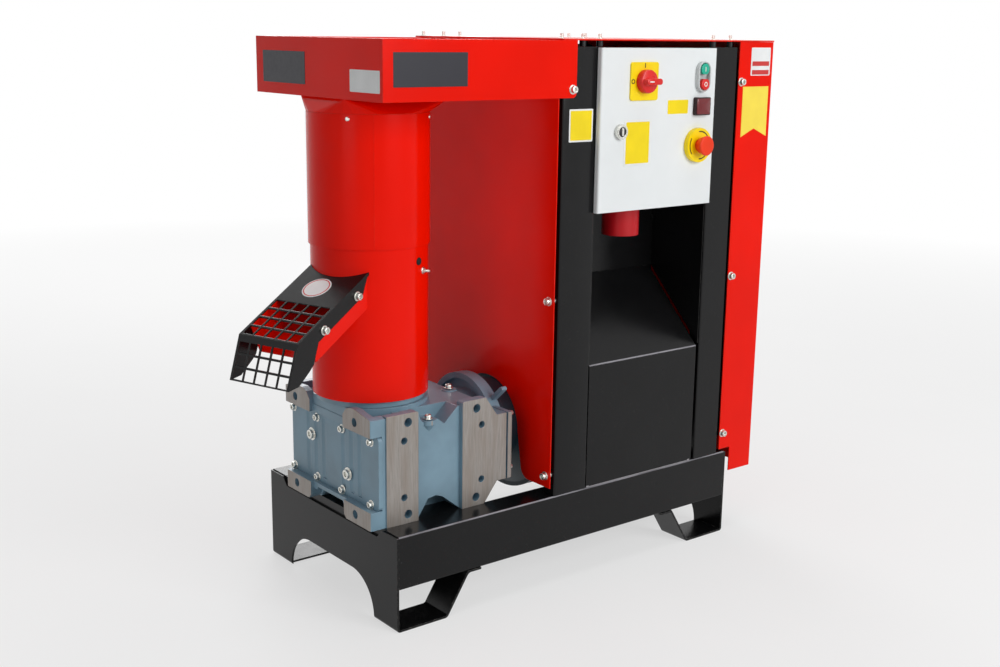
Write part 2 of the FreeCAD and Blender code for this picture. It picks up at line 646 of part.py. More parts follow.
# Discharge chute and its perforated guard
def chute():
    clear = rod(0, 0, 0, LOWER_RADIUS + GAP, HOPPER_TOP)
    w = GUARD_WIDTH / 2 - GUARD_SHEET - GAP
    t = 2.5
    back = LOWER_RADIUS * 0.66
    top = GUARD_SHEET / math.cos(math.radians(CHUTE_SLOPE)) + GAP
    outer = [
        (back, guard_line(back) - top),
        (CHUTE_END, guard_line(CHUTE_END) - top),
        (CHUTE_END - 22, guard_line(CHUTE_END - 22) - CHUTE_DROP),
        (back, guard_line(back) - CHUTE_DROP),
    ]
    inner = [
        (back - 10, guard_line(back - 10) + 10),
        (GUARD_OUT, guard_line(GUARD_OUT) + 10),
        (GUARD_OUT, guard_line(GUARD_OUT) - CHUTE_DROP + t),
        (back - 10, guard_line(back - 10) - CHUTE_DROP + t),
    ]
    body = prism(outer, "xz", -w, w).cut(prism(inner, "xz", -w + t, w - t))
    parts["outlet_chute"] = chute_frame(body.cut(clear))

    half = GUARD_WIDTH / 2
    g = GUARD_SHEET
    cosine = math.cos(math.radians(CHUTE_SLOPE))
    lean = (GUARD_OUT - GUARD_BEND) / (guard_line(GUARD_BEND) - GUARD_OUT_Z)
    bend = GUARD_BEND
    flank = CHUTE_DROP / 2
    side = [
        (back, guard_line(back)),
        (bend, guard_line(bend)),
        (GUARD_OUT, GUARD_OUT_Z),
        (bend, GUARD_OUT_Z + 3),
        (bend - 28, GUARD_OUT_Z + 24),
        (bend - 38, GUARD_OUT_Z + 33),
        (bend - 51, guard_line(bend - 51) - flank),
        (GUARD_BACK + 14, guard_line(GUARD_BACK + 14) - flank),
        (GUARD_BACK, guard_line(GUARD_BACK) - 6),
        (back, guard_line(back) - 6),
    ]
    shell = prism(side, "xz", -half, half)
    off_z = g / cosine
    bend_in = bend - g * 1.15
    out_in = GUARD_OUT - g * 1.05
    hollow = prism(
        [
            (back - 30, guard_line(back - 30) - off_z),
            (bend_in, guard_line(bend_in) - off_z),
            (out_in, GUARD_OUT_Z),
            (out_in + 3, GUARD_OUT_Z - 9),
            (back - 30, GUARD_OUT_Z - 9),
        ],
        "xz", -half + g, half - g)
    shell = shell.cut(hollow).cut(clear)
    columns = 5
    cells = []
    open_s = (GRID_PITCH - GRID_BAR) * cosine
    for row in range(4):
        s1 = bend - 3.6 - row * GRID_PITCH * cosine
        s0 = s1 - open_s
        cells.append([(s, guard_line(s) + up) for s, up in ((s0, 6), (s1, 6), (s1, -6), (s0, -6))])
    pitch_z = GRID_PITCH * 0.864
    for row in range(3):
        z1 = guard_line(bend) - 11.2 - row * pitch_z
        z0 = z1 - (pitch_z - GRID_BAR)
        s1 = bend + (guard_line(bend) - z1) * lean
        s0 = bend + (guard_line(bend) - z0) * lean
        cells.append([(s1 - 6, z1), (s1 + 6, z1), (s0 + 6, z0), (s0 - 6, z0)])
    for outline in cells:
        for col in range(columns):
            y0 = (col - columns / 2) * GRID_PITCH + GRID_BAR / 2
            y1 = y0 + GRID_PITCH - GRID_BAR
            shell = shell.cut(prism(outline, "xz", y0, y1))
    parts["chute_guard"] = chute_frame(shell)


# Loading hopper: a tray with a throat that turns from a rectangle into the round of the drum
def throat(radius, near, far, half, low, high):
    n = 8
    tips = [(-near, -half), (far, -half), (far, half), (-near, half)]
    ring = []
    for q in range(4):
        for k in range(n):
            a = math.radians(-180 + 90 * q + 90.0 * k / n)
            ring.append(V(DRUM_X + radius * math.cos(a), DRUM_Y + radius * math.sin(a), low))
    tops = [V(DRUM_X + a, DRUM_Y + b, high) for a, b in tips]
    faces = []
    total = len(ring)
    for q in range(4):
        for k in range(n):
            i = q * n + k
            faces.append(Part.Face(Part.makePolygon([ring[i], ring[(i + 1) % total], tops[q], ring[i]])))
        joint = ring[((q + 1) * n) % total]
        faces.append(Part.Face(Part.makePolygon([joint, tops[(q + 1) % 4], tops[q], joint])))
    faces.append(Part.Face(Part.makePolygon(ring + [ring[0]])))
    faces.append(Part.Face(Part.makePolygon(tops + [tops[0]])))
    return Part.Solid(Part.Shell(faces))


def hopper():
    t = COVER_SHEET
    front = -GAP
    x0, xb = HOPPER_X0, HOPPER_BOX_X
    y0, y1 = front - t, HOPPER_BACK
    z0, z1 = HOPPER_LOW, HOPPER_TOP
    tray = box(x0, xb, y0, y1, z0, z1)
    tray = tray.cut(box(x0 + t, xb - t, y0 + t, y1 - t, z0 + t, z1 - t))
    lip = HOPPER_LIP
    tray = tray.cut(box(x0 + lip, xb - lip, y0 + lip, y1 - lip, z1 - t - 1, z1 + 1))
    wall = UPPER_WALL + 0.5
    near, far, half = THROAT_NEAR - wall, THROAT_FAR - wall, THROAT_HALF - wall
    tray = tray.cut(box(DRUM_X - near, DRUM_X + far, DRUM_Y - half, DRUM_Y + half, z0 - 1, z0 + t + 1))
    wing = box(xb - 1, LEFT_POST_X + HOPPER_WING, y0, front, z0, z1)
    wing = soften(
        wing, 9.0,
        lambda e: runs_along(e, V(0, 1, 0)) and e.BoundBox.XMin > xb + 5 and e.BoundBox.ZMax < z0 + 1)
    parts["hopper_tray"] = fuse([tray, wing])
    low, high = UPPER_TOP + GAP, HOPPER_LOW - GAP
    outside = throat(UPPER_RADIUS, THROAT_NEAR, THROAT_FAR, THROAT_HALF, low, high)
    inside = throat(UPPER_RADIUS - wall, near, far, half, low - 0.01, high + 0.01)
    parts["hopper_throat"] = outside.cut(inside)


# Sheet covers
def covers():
    t = COVER_SHEET
    y0, y1 = -GAP - t, BASE_WIDTH + GAP + t
    x0 = LEFT_COVER_X
    low, top = FRAME_TOP + LEFT_COVER_RISE, HOPPER_LOW - GAP
    face = box(x0, x0 + t, y0, y1, low, top)
    m = MOTOR_HEIGHT
    hole = ADAPTOR_RADIUS - 3
    bends = [
        [(181, m - 66), (166, m - 50), (152, m - 20)],
        [(152, m - 20), (148, m + 15), (136, m + 59)],
        [(136, m + 59), (119, m + 89), (96, m + 107)],
        [(96, m + 107), (62, m + 116), (21, m + 118)],
    ]
    sides = [(21, m + 118), (0, m + hole), (-hole + 1, m), (-hole, low - 1), (181, low - 1), (181, m - 66)]
    bends = [[V(x0 - 1, MOTOR_Y - a, z) for a, z in bend] for bend in bends]
    sides = [V(x0 - 1, MOTOR_Y - a, z) for a, z in sides]
    edges = [Part.Arc(*bend).toShape() for bend in bends]
    edges += [Part.LineSegment(here, there).toShape() for here, there in zip(sides, sides[1:])]
    face = face.cut(Part.Face(Part.Wire(edges)).extrude(V(t + 2, 0, 0)))
    face = face.cut(rod(x0 - 1, MOTOR_Y, m, hole, t + 2, V(1, 0, 0)))
    front = box(x0, LEFT_POST_X - LEFT_COVER_EDGE, y0, -GAP, low, top)
    cover = fuse([face, front, mirror_y(front, MID_Y)])
    tall = (top - low) * 0.8
    cover = soften(
        cover, COVER_BEND,
        lambda e: runs_along(e, V(0, 0, 1)) and e.BoundBox.XMax < x0 + 0.01 and e.Length > tall)
    parts["left_cover"] = cover
    xs, xe = RIGHT_COVER_X, RIGHT_COVER_END
    z1 = HOPPER_TOP - GAP
    skirt = xs + RIGHT_SKIRT_X
    end = box(xe - t, xe, y0, y1, RIGHT_SKIRT_LOW, z1)
    front = prism(
        [
            (xs, RIGHT_COVER_LOW),
            (skirt, RIGHT_COVER_LOW),
            (skirt, RIGHT_SKIRT_LOW),
            (xe, RIGHT_SKIRT_LOW),
            (xe, z1),
            (xs, z1),
        ],
        "xz", y0, -GAP)
    cover = fuse([end, front, mirror_y(front, MID_Y)])
    cover = soften(
        cover, COVER_BEND,
        lambda e: runs_along(e, V(0, 0, 1)) and e.BoundBox.XMin > xe - 0.01 and e.Length > tall)
    parts["right_cover"] = cover
    z1 = HOPPER_TOP
    sheet = box(HOPPER_BOX_X + GAP, xe, y0, y1, z1, z1 + TOP_COVER_THICK)
    left_mid, right_mid = sum(LEFT_POST) / 2, sum(RIGHT_POST) / 2
    studs = []
    places = [left_mid - LEFT_STUD_OUTER, left_mid + LEFT_STUD, left_mid + LEFT_STUD_INNER]
    places += [right_mid - RIGHT_STUD, right_mid + RIGHT_STUD_OUTER]
    for x in places:
        for y in (STUD_EDGE, BASE_WIDTH - STUD_EDGE):
            studs.append(rod(x, y, POST_TOP, STUD_RADIUS + 3, z1 - POST_TOP + 1))
            studs.append(rod(x, y, z1, STUD_RADIUS, TOP_COVER_THICK + STUD_RISE))
    parts["top_cover"] = fuse([sheet] + studs)


# Cabinet frame around the control box
def posts():
    t = POST_SHEET
    k = POST_BRACKET
    z0, z1 = FRAME_TOP + GAP, POST_TOP
    low = z0 + 35
    for name, (x0, x1), side in (("left", LEFT_POST, -1), ("right", RIGHT_POST, 1)):
        web = box(x0, x1, 0, t, z0, z1)
        near = box(x0, x0 + t, 0, POST_DEPTH, z0, z1)
        far = box(x1 - t, x1, 0, POST_DEPTH, z0, z1)
        cap = box(x0, x1, 0, POST_DEPTH, z1 - t, z1)
        edge = x0 if side < 0 else x1
        high = HOPPER_LOW - 8 if side < 0 else z1 - 20

        def span(a, b, y0, y1):
            lo, hi = sorted((edge + side * a, edge + side * b))
            return box(lo, hi, y0, y1, low, high)

        bracket = [span(-1, k, k - t, k), span(k - t, k, 0, k), span(k - t, 3 * k, 0, t)]
        post = fuse([web, near, far, cap] + bracket)
        tall = (z1 - z0) * 0.8
        post = soften(
            post, COVER_BEND,
            lambda e: runs_along(e, V(0, 0, 1)) and e.BoundBox.YMax < 0.01 and e.Length > tall)
        parts["front_post_" + name] = post
        parts["back_post_" + name] = mirror_y(post, MID_Y)
    parts["back_panel"] = box(
        LEFT_POST[1] + GAP, RIGHT_POST_X - GAP, BASE_WIDTH - COVER_SHEET, BASE_WIDTH, z0, POST_TOP)


def recess():
    s = COVER_SHEET
    k = s * math.tan(math.radians(22.5))
    d = RECESS_DEPTH - GAP
    x0, x1 = LEFT_POST[1] + GAP, RIGHT_POST_X - PANEL_MARGIN
    panel = prism(
        [
            (0, PANEL_LOW),
            (s, PANEL_LOW),
            (s, PANEL_BEND - k),
            (d, PANEL_BEND - k + d - s),
            (d, PANEL_BEND + d),
            (0, PANEL_BEND),
        ],
        "yz", x0, x1)
    foot = box(x0, x1, 0, 10 * s, FRAME_TOP + GAP, PANEL_LOW + s)
    lip = foot.cut(box(x0 - 1, x1 + 1, -1, s, FRAME_TOP - 10, PANEL_LOW - 0.5))
    parts["lower_panel"] = fuse([panel, lip])
    xl, xr = LEFT_POST[1] + GAP, RIGHT_POST_X - GAP
    low = PANEL_BEND + GAP + 1.0
    under = BOX_LOW - GAP
    outline = [(POST_SHEET, low + POST_SHEET), (d, low + d), (d, under), (POST_SHEET, under)]
    parts["recess_left_wall"] = prism(outline, "yz", xl, xl + s)
    parts["recess_right_wall"] = prism(outline, "yz", xr - s, xr)
    parts["recess_back_wall"] = box(xl, xr, RECESS_DEPTH, RECESS_DEPTH + s, PANEL_BEND + d - 20, POST_TOP - 4)


# Control box with its door, hinges and operators
def control_box():
    xl, xr = LEFT_POST[1] + GAP, RIGHT_POST_X - GAP
    w = BOX_SHEET
    y1 = RECESS_DEPTH - GAP
    shell = box(xl, xr, BOX_FRONT, y1, BOX_LOW, BOX_HIGH)
    shell = shell.cut(box(xl + w, xr - w, BOX_FRONT + w, y1 - w, BOX_LOW + w, BOX_HIGH - w))
    rim = BOX_RIM
    shell = shell.cut(box(xl + rim, xr - rim, BOX_FRONT - 1, BOX_FRONT + w + 1, BOX_LOW + rim, BOX_HIGH - rim))
    parts["control_box_body"] = shell
    plate_y = y1 - w - GAP - 6
    parts["mounting_plate"] = box(xl + 20, xr - 20, plate_y, plate_y + 6, BOX_LOW + 22, BOX_HIGH - 22)
    rail_z = DOOR_HIGH - RAIL_DROP
    gear_x = xl + RAIL_INSET
    back = plate_y - RAIL_DEPTH
    rail_half = RAIL_HEIGHT / 2
    gear = [box(gear_x, gear_x + RAIL_LENGTH, back, plate_y - GAP, rail_z - rail_half, rail_z + rail_half)]
    at = gear_x + RAIL_HEIGHT / 2
    half = CONTACTOR_HEIGHT / 2
    for depth in (CONTACTOR_DEPTH, RELAY_DEPTH):
        gear.append(box(at, at + CONTACTOR_WIDTH, back - depth, back, rail_z - half, rail_z + half))
        at += CONTACTOR_WIDTH + 2
    at += RAIL_HEIGHT / 2
    half = TERMINAL_ROW_HEIGHT / 2
    gear.append(box(at, at + 2 * CONTACTOR_WIDTH, back - TERMINAL_ROW_DEPTH, back, rail_z - half, rail_z + half))
    parts["contactor_set"] = fuse(gear)

    x0, x1 = DOOR_X
    inside = DOOR_FACE + DOOR_SKIN
    r = DOOR_RIM
    door = box(x0, x1, DOOR_FACE, DOOR_BACK, DOOR_LOW, DOOR_HIGH)
    door = soften(door, 4.0, lambda e: runs_along(e, V(0, 0, 1)) and e.BoundBox.YMax < DOOR_FACE + 0.01)
    door = soften(
        door, 5.0,
        lambda e: runs_along(e, V(0, 0, 1)) and e.BoundBox.YMin > DOOR_BACK - 0.01 and e.BoundBox.XMin > x1 - 1)
    door = door.cut(box(x0 + r, x1 - r, inside, DOOR_BACK + 1, DOOR_LOW + r, DOOR_HIGH - r))
    hx = x1 - HINGE_INSET
    knuckle = HINGE_KNUCKLE
    hinges = []
    for z in (DOOR_LOW + HINGE_EDGE, DOOR_HIGH - HINGE_EDGE - HINGE_LENGTH):
        top = z + HINGE_LENGTH
        door = door.cut(box(hx - knuckle - 0.8, x1 + 1, inside, DOOR_BACK + 1, z, top))
        door = door.cut(rod(hx, HINGE_Y, z - 8 - GAP, HINGE_PIN + GAP, HINGE_LENGTH + 16 + 2 * GAP))
        pin = rod(hx, HINGE_Y, z - 8, HINGE_PIN, HINGE_LENGTH + 16)
        barrel = rod(hx, HINGE_Y, z + GAP, knuckle, HINGE_LENGTH - 2 * GAP)
        arm = box(hx - knuckle, hx - knuckle + HINGE_LEAF, HINGE_Y, BOX_FRONT, z + GAP, top - GAP)
        leaf = box(hx - knuckle - 6.5, hx - knuckle + HINGE_LEAF, BOX_FRONT - HINGE_LEAF, BOX_FRONT, z + GAP, top - GAP)
        hinges.append(fuse([pin, barrel, arm, leaf]))
    parts["control_box_door"] = door
    parts["door_hinges"] = Part.makeCompound(hinges)
    seal = box(x0 + r + 3, x1 - r - 3, inside + GAP, BOX_FRONT - GAP, DOOR_LOW + r + 3, DOOR_HIGH - r - 3)
    hole = box(x0 + r + 11, x1 - r - 11, DOOR_FACE, BOX_FRONT, DOOR_LOW + r + 11, DOOR_HIGH - r - 11)
    parts["door_seal"] = seal.cut(hole)
    face = DOOR_FACE - GAP
    out = V(0, -1, 0)

    kx, kz = x0 + 105.5, DOOR_HIGH - 60.6
    half = SWITCH_PLATE / 2
    plate = box(kx - half, kx + half, face - 3, face, kz - half, kz + half)
    parts["main_switch_plate"] = soften(plate, 5.0, lambda e: runs_along(e, V(0, 1, 0)))
    base = rod(kx, face - 3 - GAP, kz, SWITCH_KNOB_RADIUS, 10, out)
    r = SWITCH_KNOB_RADIUS
    grip = box(kx - r - 2, kx + r + 10, face - 30, face - 10, kz - 6.5, kz + 6.5)
    grip = soften(grip, 6.0, lambda e: runs_along(e, V(0, 1, 0)))
    parts["main_switch_knob"] = fuse([base, grip])

    cx, cz = x1 - 41.0, DOOR_HIGH - 53.6
    half_x, half_z = BEZEL_WIDTH / 2, BEZEL_HEIGHT / 2
    shell = box(cx - half_x, cx + half_x, face - 9, face, cz - half_z, cz + half_z)
    shell = soften(shell, half_x - 3, lambda e: runs_along(e, V(0, 1, 0)))
    step = BUTTON_RADIUS + 3
    for dz in (-step, step):
        shell = shell.cut(rod(cx, face - 1.5, cz + dz, BUTTON_RADIUS + 0.5, 10, out))
    parts["start_stop_bezel"] = shell
    parts["start_button"] = rod(cx, face - 4 - GAP, cz + step, BUTTON_RADIUS, 6.2, out)
    parts["stop_button"] = rod(cx, face - 4 - GAP, cz - step, BUTTON_RADIUS, 8.2, out)
    lz = cz - 56.0
    half_x, half_z = LAMP_WIDTH / 2, LAMP_HEIGHT / 2
    lamp = box(cx - half_x, cx + half_x, face - 8, face, lz - half_z, lz + half_z)
    parts["indicator_lamp"] = soften(lamp, 3.0, lambda e: runs_along(e, V(0, 1, 0)))

    ex, ez = x1 - 48.5, DOOR_HIGH - 183.6
    ring = rod(ex, face, ez, STOP_RING_RADIUS, 10, out)
    parts["emergency_stop_ring"] = ring.cut(rod(ex, face - 1, ez, STOP_STEM_RADIUS + 0.5, 12, out))
    stem = rod(ex, face - 6, ez, STOP_STEM_RADIUS, 10, out)
    head = Part.makeCone(STOP_HEAD_RADIUS - 5, STOP_HEAD_RADIUS, 16, V(ex, face - 15, ez), out)
    head = soften(head, 3.0, lambda e: e.BoundBox.YMax < face - 30)
    parts["emergency_stop_button"] = fuse([stem, head])

    lx, lz = x0 + 49.5, DOOR_HIGH - 151.6
    lock = rod(lx, face, lz, LOCK_RADIUS, 7, out)
    slot = box(lx - 5, lx + 5, face - 8, face - 3, lz - 1.5, lz + 1.5)
    parts["door_lock"] = lock.cut(slot)

    px, py = xl + 123.7, RECESS_DEPTH * 0.408
    top = BOX_LOW - GAP
    body = rod(px, py, top - INLET_LENGTH + GAP, INLET_RADIUS, INLET_LENGTH - GAP)
    socket = rod(px, py, top - INLET_LENGTH - 1, INLET_RADIUS - INLET_WALL, INLET_DEPTH + 1)
    parts["power_inlet"] = body.cut(socket)


base()
gearbox()
drum()
chute()
hopper()
covers()
posts()
recess()
control_box()

# The origin sits at the middle of the footprint's bounding box, on the floor.
spread = [shape.BoundBox for shape in parts.values()]
low_x = min(b.XMin for b in spread)
high_x = max(b.XMax for b in spread)
low_y = min(b.YMin for b in spread)
high_y = max(b.YMax for b in spread)
shift = V(-(low_x + high_x) / 2, -(low_y + high_y) / 2, 0)

os.makedirs("parts", exist_ok=True)
for name, shape in parts.items():
    solid = shape.translated(shift)
    solid.exportStep("parts/" + name + ".step")
    print(name, len(solid.Solids), solid.isValid(), round(solid.Volume / 1000, 1))
print("shift", round(shift.x, 3), round(shift.y, 3))
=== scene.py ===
import math

import bpy
import numpy as np
from mathutils import Matrix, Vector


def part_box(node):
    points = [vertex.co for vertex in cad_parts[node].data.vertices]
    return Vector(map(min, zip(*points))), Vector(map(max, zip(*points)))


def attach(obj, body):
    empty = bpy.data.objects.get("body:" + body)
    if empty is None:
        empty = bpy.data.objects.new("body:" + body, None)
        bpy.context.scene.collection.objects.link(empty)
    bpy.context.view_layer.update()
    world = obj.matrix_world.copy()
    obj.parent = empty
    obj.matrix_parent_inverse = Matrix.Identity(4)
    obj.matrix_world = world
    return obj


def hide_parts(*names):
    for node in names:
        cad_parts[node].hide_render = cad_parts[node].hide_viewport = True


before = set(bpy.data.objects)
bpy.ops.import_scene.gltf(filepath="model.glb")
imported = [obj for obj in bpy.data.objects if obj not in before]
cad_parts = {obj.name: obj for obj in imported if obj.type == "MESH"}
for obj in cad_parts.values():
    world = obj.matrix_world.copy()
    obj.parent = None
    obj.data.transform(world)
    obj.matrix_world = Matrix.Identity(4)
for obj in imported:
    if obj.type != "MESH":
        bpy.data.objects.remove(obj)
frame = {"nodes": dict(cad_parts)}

bl_info = {
    "name": "Pellet mill",
    "version": (1, 0, 0),
    "blender": (4, 5, 0),
    "location": "View3D > Sidebar > Pellet mill",
    "description": "Finishes, fasteners and blank plates of a flat-die pellet mill",
    "category": "Object",
}

# Places are given in millimetres from the floor corner under the gearbox end plate.
CORNER = np.array([*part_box("base_gearbox_end_plate")[0][:2], 0.0])
DRUM_AXIS = np.array([73.0, 197.0])
GUARD_TURN = math.radians(-160.9)
GUARD_SLOPE = math.radians(26.5)
LEFT_SHEET = (345.0, 347.0)
POST_FACE = 358.0
PANEL_BEND = 424.8
POST_TOP = 1020.0
TOP_FACE = 1034.0
# Unit normals, and a spot whose right, up and out are the machine's own x, y and z
FRONT, REAR, LEFT, RIGHT, UP = (0, -1, 0), (0, 1, 0), (-1, 0, 0), (1, 0, 0), (0, 0, 1)
UPRIGHT = ((0.0, 0.0, 0.0), UP)
# Body, slot and finish of pieces of the same kind
ZINC_PARTS = ("machine", "zinc_steel", "zinc")
BLACK_SHEET = ("machine", "black_powder_coat", "black")
RED_SHEET = ("machine", "red_powder_coat", "red")


def spot(x, y, z):
    """A place given in millimetres from the floor corner, as metres in the model's own frame."""
    return np.array([x, y, z], float) / 1000.0 + CORNER


def reach(node):
    """Lowest and highest corner of a node, in millimetres from the floor corner."""
    return [(np.array(corner) - CORNER) * 1000.0 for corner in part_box(node)]


def tone(red, green, blue):
    """Display colour in steps of 255, turned to linear light."""
    c = np.array([red, green, blue], float) / 255.0
    c = np.where(c <= 0.04045, c / 12.92, ((c + 0.055) / 1.055) ** 2.4)
    return tuple(float(v) for v in c)


def shade(colour, factor):
    """A colour times a factor, kept under 1."""
    return tuple(min(1.0, c * factor) for c in colour)


def directions(normal):
    """Three unit rows, right, up and out, of a flat spot with this outward normal."""
    out = np.array(normal, float)
    out /= np.linalg.norm(out)
    level = abs(out[2]) > 0.98
    up = np.array(REAR if level else UP, float)
    right = np.cross(up, out)
    right /= np.linalg.norm(right)
    return np.stack([right, np.cross(out, right), out])


# Surfaces
def skin(rings, looped=False):
    """A closed surface through rings of points, given as (rows, columns, 3), row after row along
    the way ahead, each row anticlockwise about it. Quads join neighbouring rows. The first and the
    last row close in a pole at their middle, or, when looped, the last row joins the first."""
    rows, cols, _ = rings.shape
    r = np.arange(rows if looped else rows - 1)[:, None] * cols
    c = np.arange(cols)
    n = (c + 1) % cols
    ahead = (r + cols) % (rows * cols)
    quads = np.stack([r + c, r + n, ahead + n, ahead + c], -1).reshape(-1, 4)
    points = rings.reshape(-1, 3)
    if looped:
        return points, quads, np.zeros((0, 3), int)
    pole, end = rows * cols, (rows - 1) * cols
    fans = [np.stack([0 * c + pole, n, c], -1), np.stack([end + c, end + n, 0 * c + pole + 1], -1)]
    return np.concatenate([points, rings[[0, -1]].mean(1)]), quads, np.concatenate(fans)


def turned(profile, sides=28):
    """A profile of (radius, height) pairs carried round an axis: (r cos a, r sin a, h)."""
    p = np.array(profile, float)
    a = np.linspace(0, 2 * np.pi, sides, endpoint=False)
    return skin(np.stack([p[:, :1] * np.cos(a), p[:, :1] * np.sin(a), p[:, 1:] + 0 * a], -1))


def six_sided(profile):
    """Like turned, from (flat, limit, height) triples: at the angle b from the middle of its side
    the radius is flat / cos b, or the limit where that is less, so a cone trims the corners."""
    turn, sides = 0.2, 36
    p = np.array(profile, float)
    a = np.linspace(0, 2 * np.pi, sides, endpoint=False)
    b = (a + np.pi / 6) % (np.pi / 3) - np.pi / 6
    r = np.minimum(p[:, :1] / np.cos(b), p[:, 1:2])
    return skin(np.stack([r * np.cos(a + turn), r * np.sin(a + turn), p[:, 2:] + 0 * a], -1))


def stacked(rows):
    """A closed surface through flat outlines, given as (outline, height), from the ground up."""
    return skin(np.stack([np.column_stack([flat, np.full(len(flat), z)]) for flat, z in rows]))


def moved(shape, rise):
    """A shape lifted along its own axis."""
    points, quads, fans = shape
    return points + np.array([0, 0, rise]), quads, fans


def rounded_outline(width, height, corner, steps=5):
    """Outline of a rounded rectangle, anticlockwise: in each quarter the middle of the corner's
    arc plus corner times (cos a, sin a), with a running through that quarter turn."""
    side = np.array([1, -1, -1, 1])[:, None]
    rise = np.array([1, 1, -1, -1])[:, None]
    a = (np.arange(4)[:, None] + np.linspace(0, 1, steps)) * np.pi / 2
    x = side * (width / 2 - corner) + corner * np.cos(a)
    y = rise * (height / 2 - corner) + corner * np.sin(a)
    return np.stack([x.ravel(), y.ravel()], -1)


def round_outline(radius, start=0.0, end=2 * np.pi, steps=48):
    """Points of a circle, anticlockwise: radius times (cos a, sin a)."""
    a = np.linspace(start, end, steps, endpoint=end - start < 6.28)
    return radius * np.stack([np.cos(a), np.sin(a)], -1)


def button_outline(radius, flat_at, corner):
    """Outline of a round button cut straight at flat_at below its middle, anticlockwise: the large
    arc, and an arc of the corner's radius at both ends of the straight side, each centred where
    it touches the line and, from inside, the large arc."""
    drop = flat_at - corner
    across = math.sqrt((radius - corner) ** 2 - drop ** 2)
    limit = math.atan2(drop, across)
    big = round_outline(radius, -limit, math.pi + limit, 24)
    left = np.array([-across, -drop]) + round_outline(corner, math.pi + limit, 1.5 * math.pi, 4)
    right = np.array([across, -drop]) + round_outline(corner, -0.5 * math.pi, -limit, 4)
    return np.concatenate([big[:-1], left, right[:-1]])


def left_of(path, looped=False):
    """Unit normals to the left of each point of a flat path, from the step past it."""
    step = np.roll(path, -1, 0) - np.roll(path, 1, 0) if looped else np.gradient(path, axis=0)
    return np.stack([-step[:, 1], step[:, 0]], -1) / np.linalg.norm(step, axis=1, keepdims=True)


def folded_sheet(path, thick, low, high):
    """A wall from low to high on a flat path (x, y): the path is its right face, and the path plus
    thick times its left normal is its left face."""
    inner = path + left_of(path) * thick
    corners = [(inner, low), (inner, high), (path, high), (path, low)]
    return skin(np.stack([np.column_stack([f, np.full(len(f), z)]) for f, z in corners], 1))


def arch_path(front, rear, foot, centre, crown):
    """Lower edge (y, z) of a side sheet, front to rear: a level toe at the foot, a flare arc, a
    line leaning inwards, a half circle, and the line, flare and toe mirrored about the centre."""
    radius, flare_radius, flare_reach = 96.0, 24.0, 131.0
    flare = round_outline(flare_radius, -0.5 * math.pi, 0.0, 8)
    flare += [centre - flare_reach, foot + flare_radius]
    top = round_outline(radius, 0.0, math.pi, 33)[::-1] + [centre, crown - radius]
    mirrored = flare[::-1] * [-1, 1] + [2 * centre, 0]
    return np.concatenate([[(front, foot)], flare, top, mirrored, [(rear, foot)]])


def ribbon_outline(width, height, notch):
    """Outline of a ribbon whose lower end is a swallow tail, anticlockwise."""
    w, h = width / 2, height / 2
    return np.array([(w, h), (-w, h), (-w, -h), (0, notch - h), (w, -h)])


def thin_plate(outline, rise, inset=0.3):
    """A thin plate on an outline: one ring on the ground, one at 0.6 of the rise, and one at the
    rise that is drawn in towards the middle by the inset, which rounds the rim."""
    inner = outline * (1 - inset / np.linalg.norm(outline, axis=1, keepdims=True))
    return stacked([(outline, 0.0), (outline, 0.6 * rise), (inner, rise)])


def raised_line(path, width, rise, looped=False):
    """A low line: a rectangle of width by rise carried along a flat path, set square to it."""
    across = np.array([0.5, 0.5, -0.5, -0.5]) * width
    height = np.array([0.0, 1.0, 1.0, 0.0]) * rise
    flat = path[:, None, :] + left_of(path, looped)[:, None, :] * across[None, :, None]
    level = np.broadcast_to(height[None, :, None], flat.shape[:2] + (1,))
    return skin(np.concatenate([flat, level], -1), looped)


def gathered(shapes, places):
    """Copies of a group of shapes: each point (right, up, out) in millimetres is turned to the
    spot's three directions and moved to its place, and all copies become one surface."""
    points, quads, fans, base = [], [], [], 0
    for where, normal in places:
        turn = directions(normal)
        for local, four, three in shapes:
            points.append(local @ turn / 1000.0 + spot(*where))
            quads.append(four + base)
            fans.append(three + base)
            base += len(local)
    return np.concatenate(points), np.concatenate(quads), np.concatenate(fans)


def make_piece(name, shapes, places, body, slot, finish):
    """A mesh piece of copies of the shapes at the places. It rides on a body; the slot is not
    used."""
    sharp = math.radians(32.0)
    points, quads, fans = gathered(shapes, places)
    totals = np.concatenate([np.full(len(quads), 4), np.full(len(fans), 3)]).astype(np.int32)
    starts = np.concatenate([[0], totals.cumsum()[:-1]]).astype(np.int32)
    mesh = bpy.data.meshes.new(name)
    mesh.vertices.add(len(points))
    mesh.vertices.foreach_set("co", points.astype(np.float32).ravel())
    mesh.loops.add(int(totals.sum()))
    corners = np.concatenate([quads.ravel(), fans.ravel()]).astype(np.int32)
    mesh.loops.foreach_set("vertex_index", corners)
    mesh.polygons.add(len(totals))
    mesh.polygons.foreach_set("loop_start", starts)
    mesh.polygons.foreach_set("loop_total", totals)
    mesh.update(calc_edges=True)
    mesh.shade_smooth()
    mesh.set_sharp_from_angle(angle=sharp)
    mesh.materials.append(finish_of(finish))
    piece = bpy.data.objects.new(name, mesh)
    bpy.context.scene.collection.objects.link(piece)
    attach(piece, body)
    return piece


def row_of(name, shapes, normal, places, kind=ZINC_PARTS):
    """A mesh piece of copies that all face one way."""
    make_piece(name, shapes, [(place, normal) for place in places], *kind)


# Fasteners
def washer(radius, thick):
    """A flat disc with a broken upper edge."""
    return turned([(radius, 0), (radius, thick * 0.65), (radius - thick * 0.3, thick)])


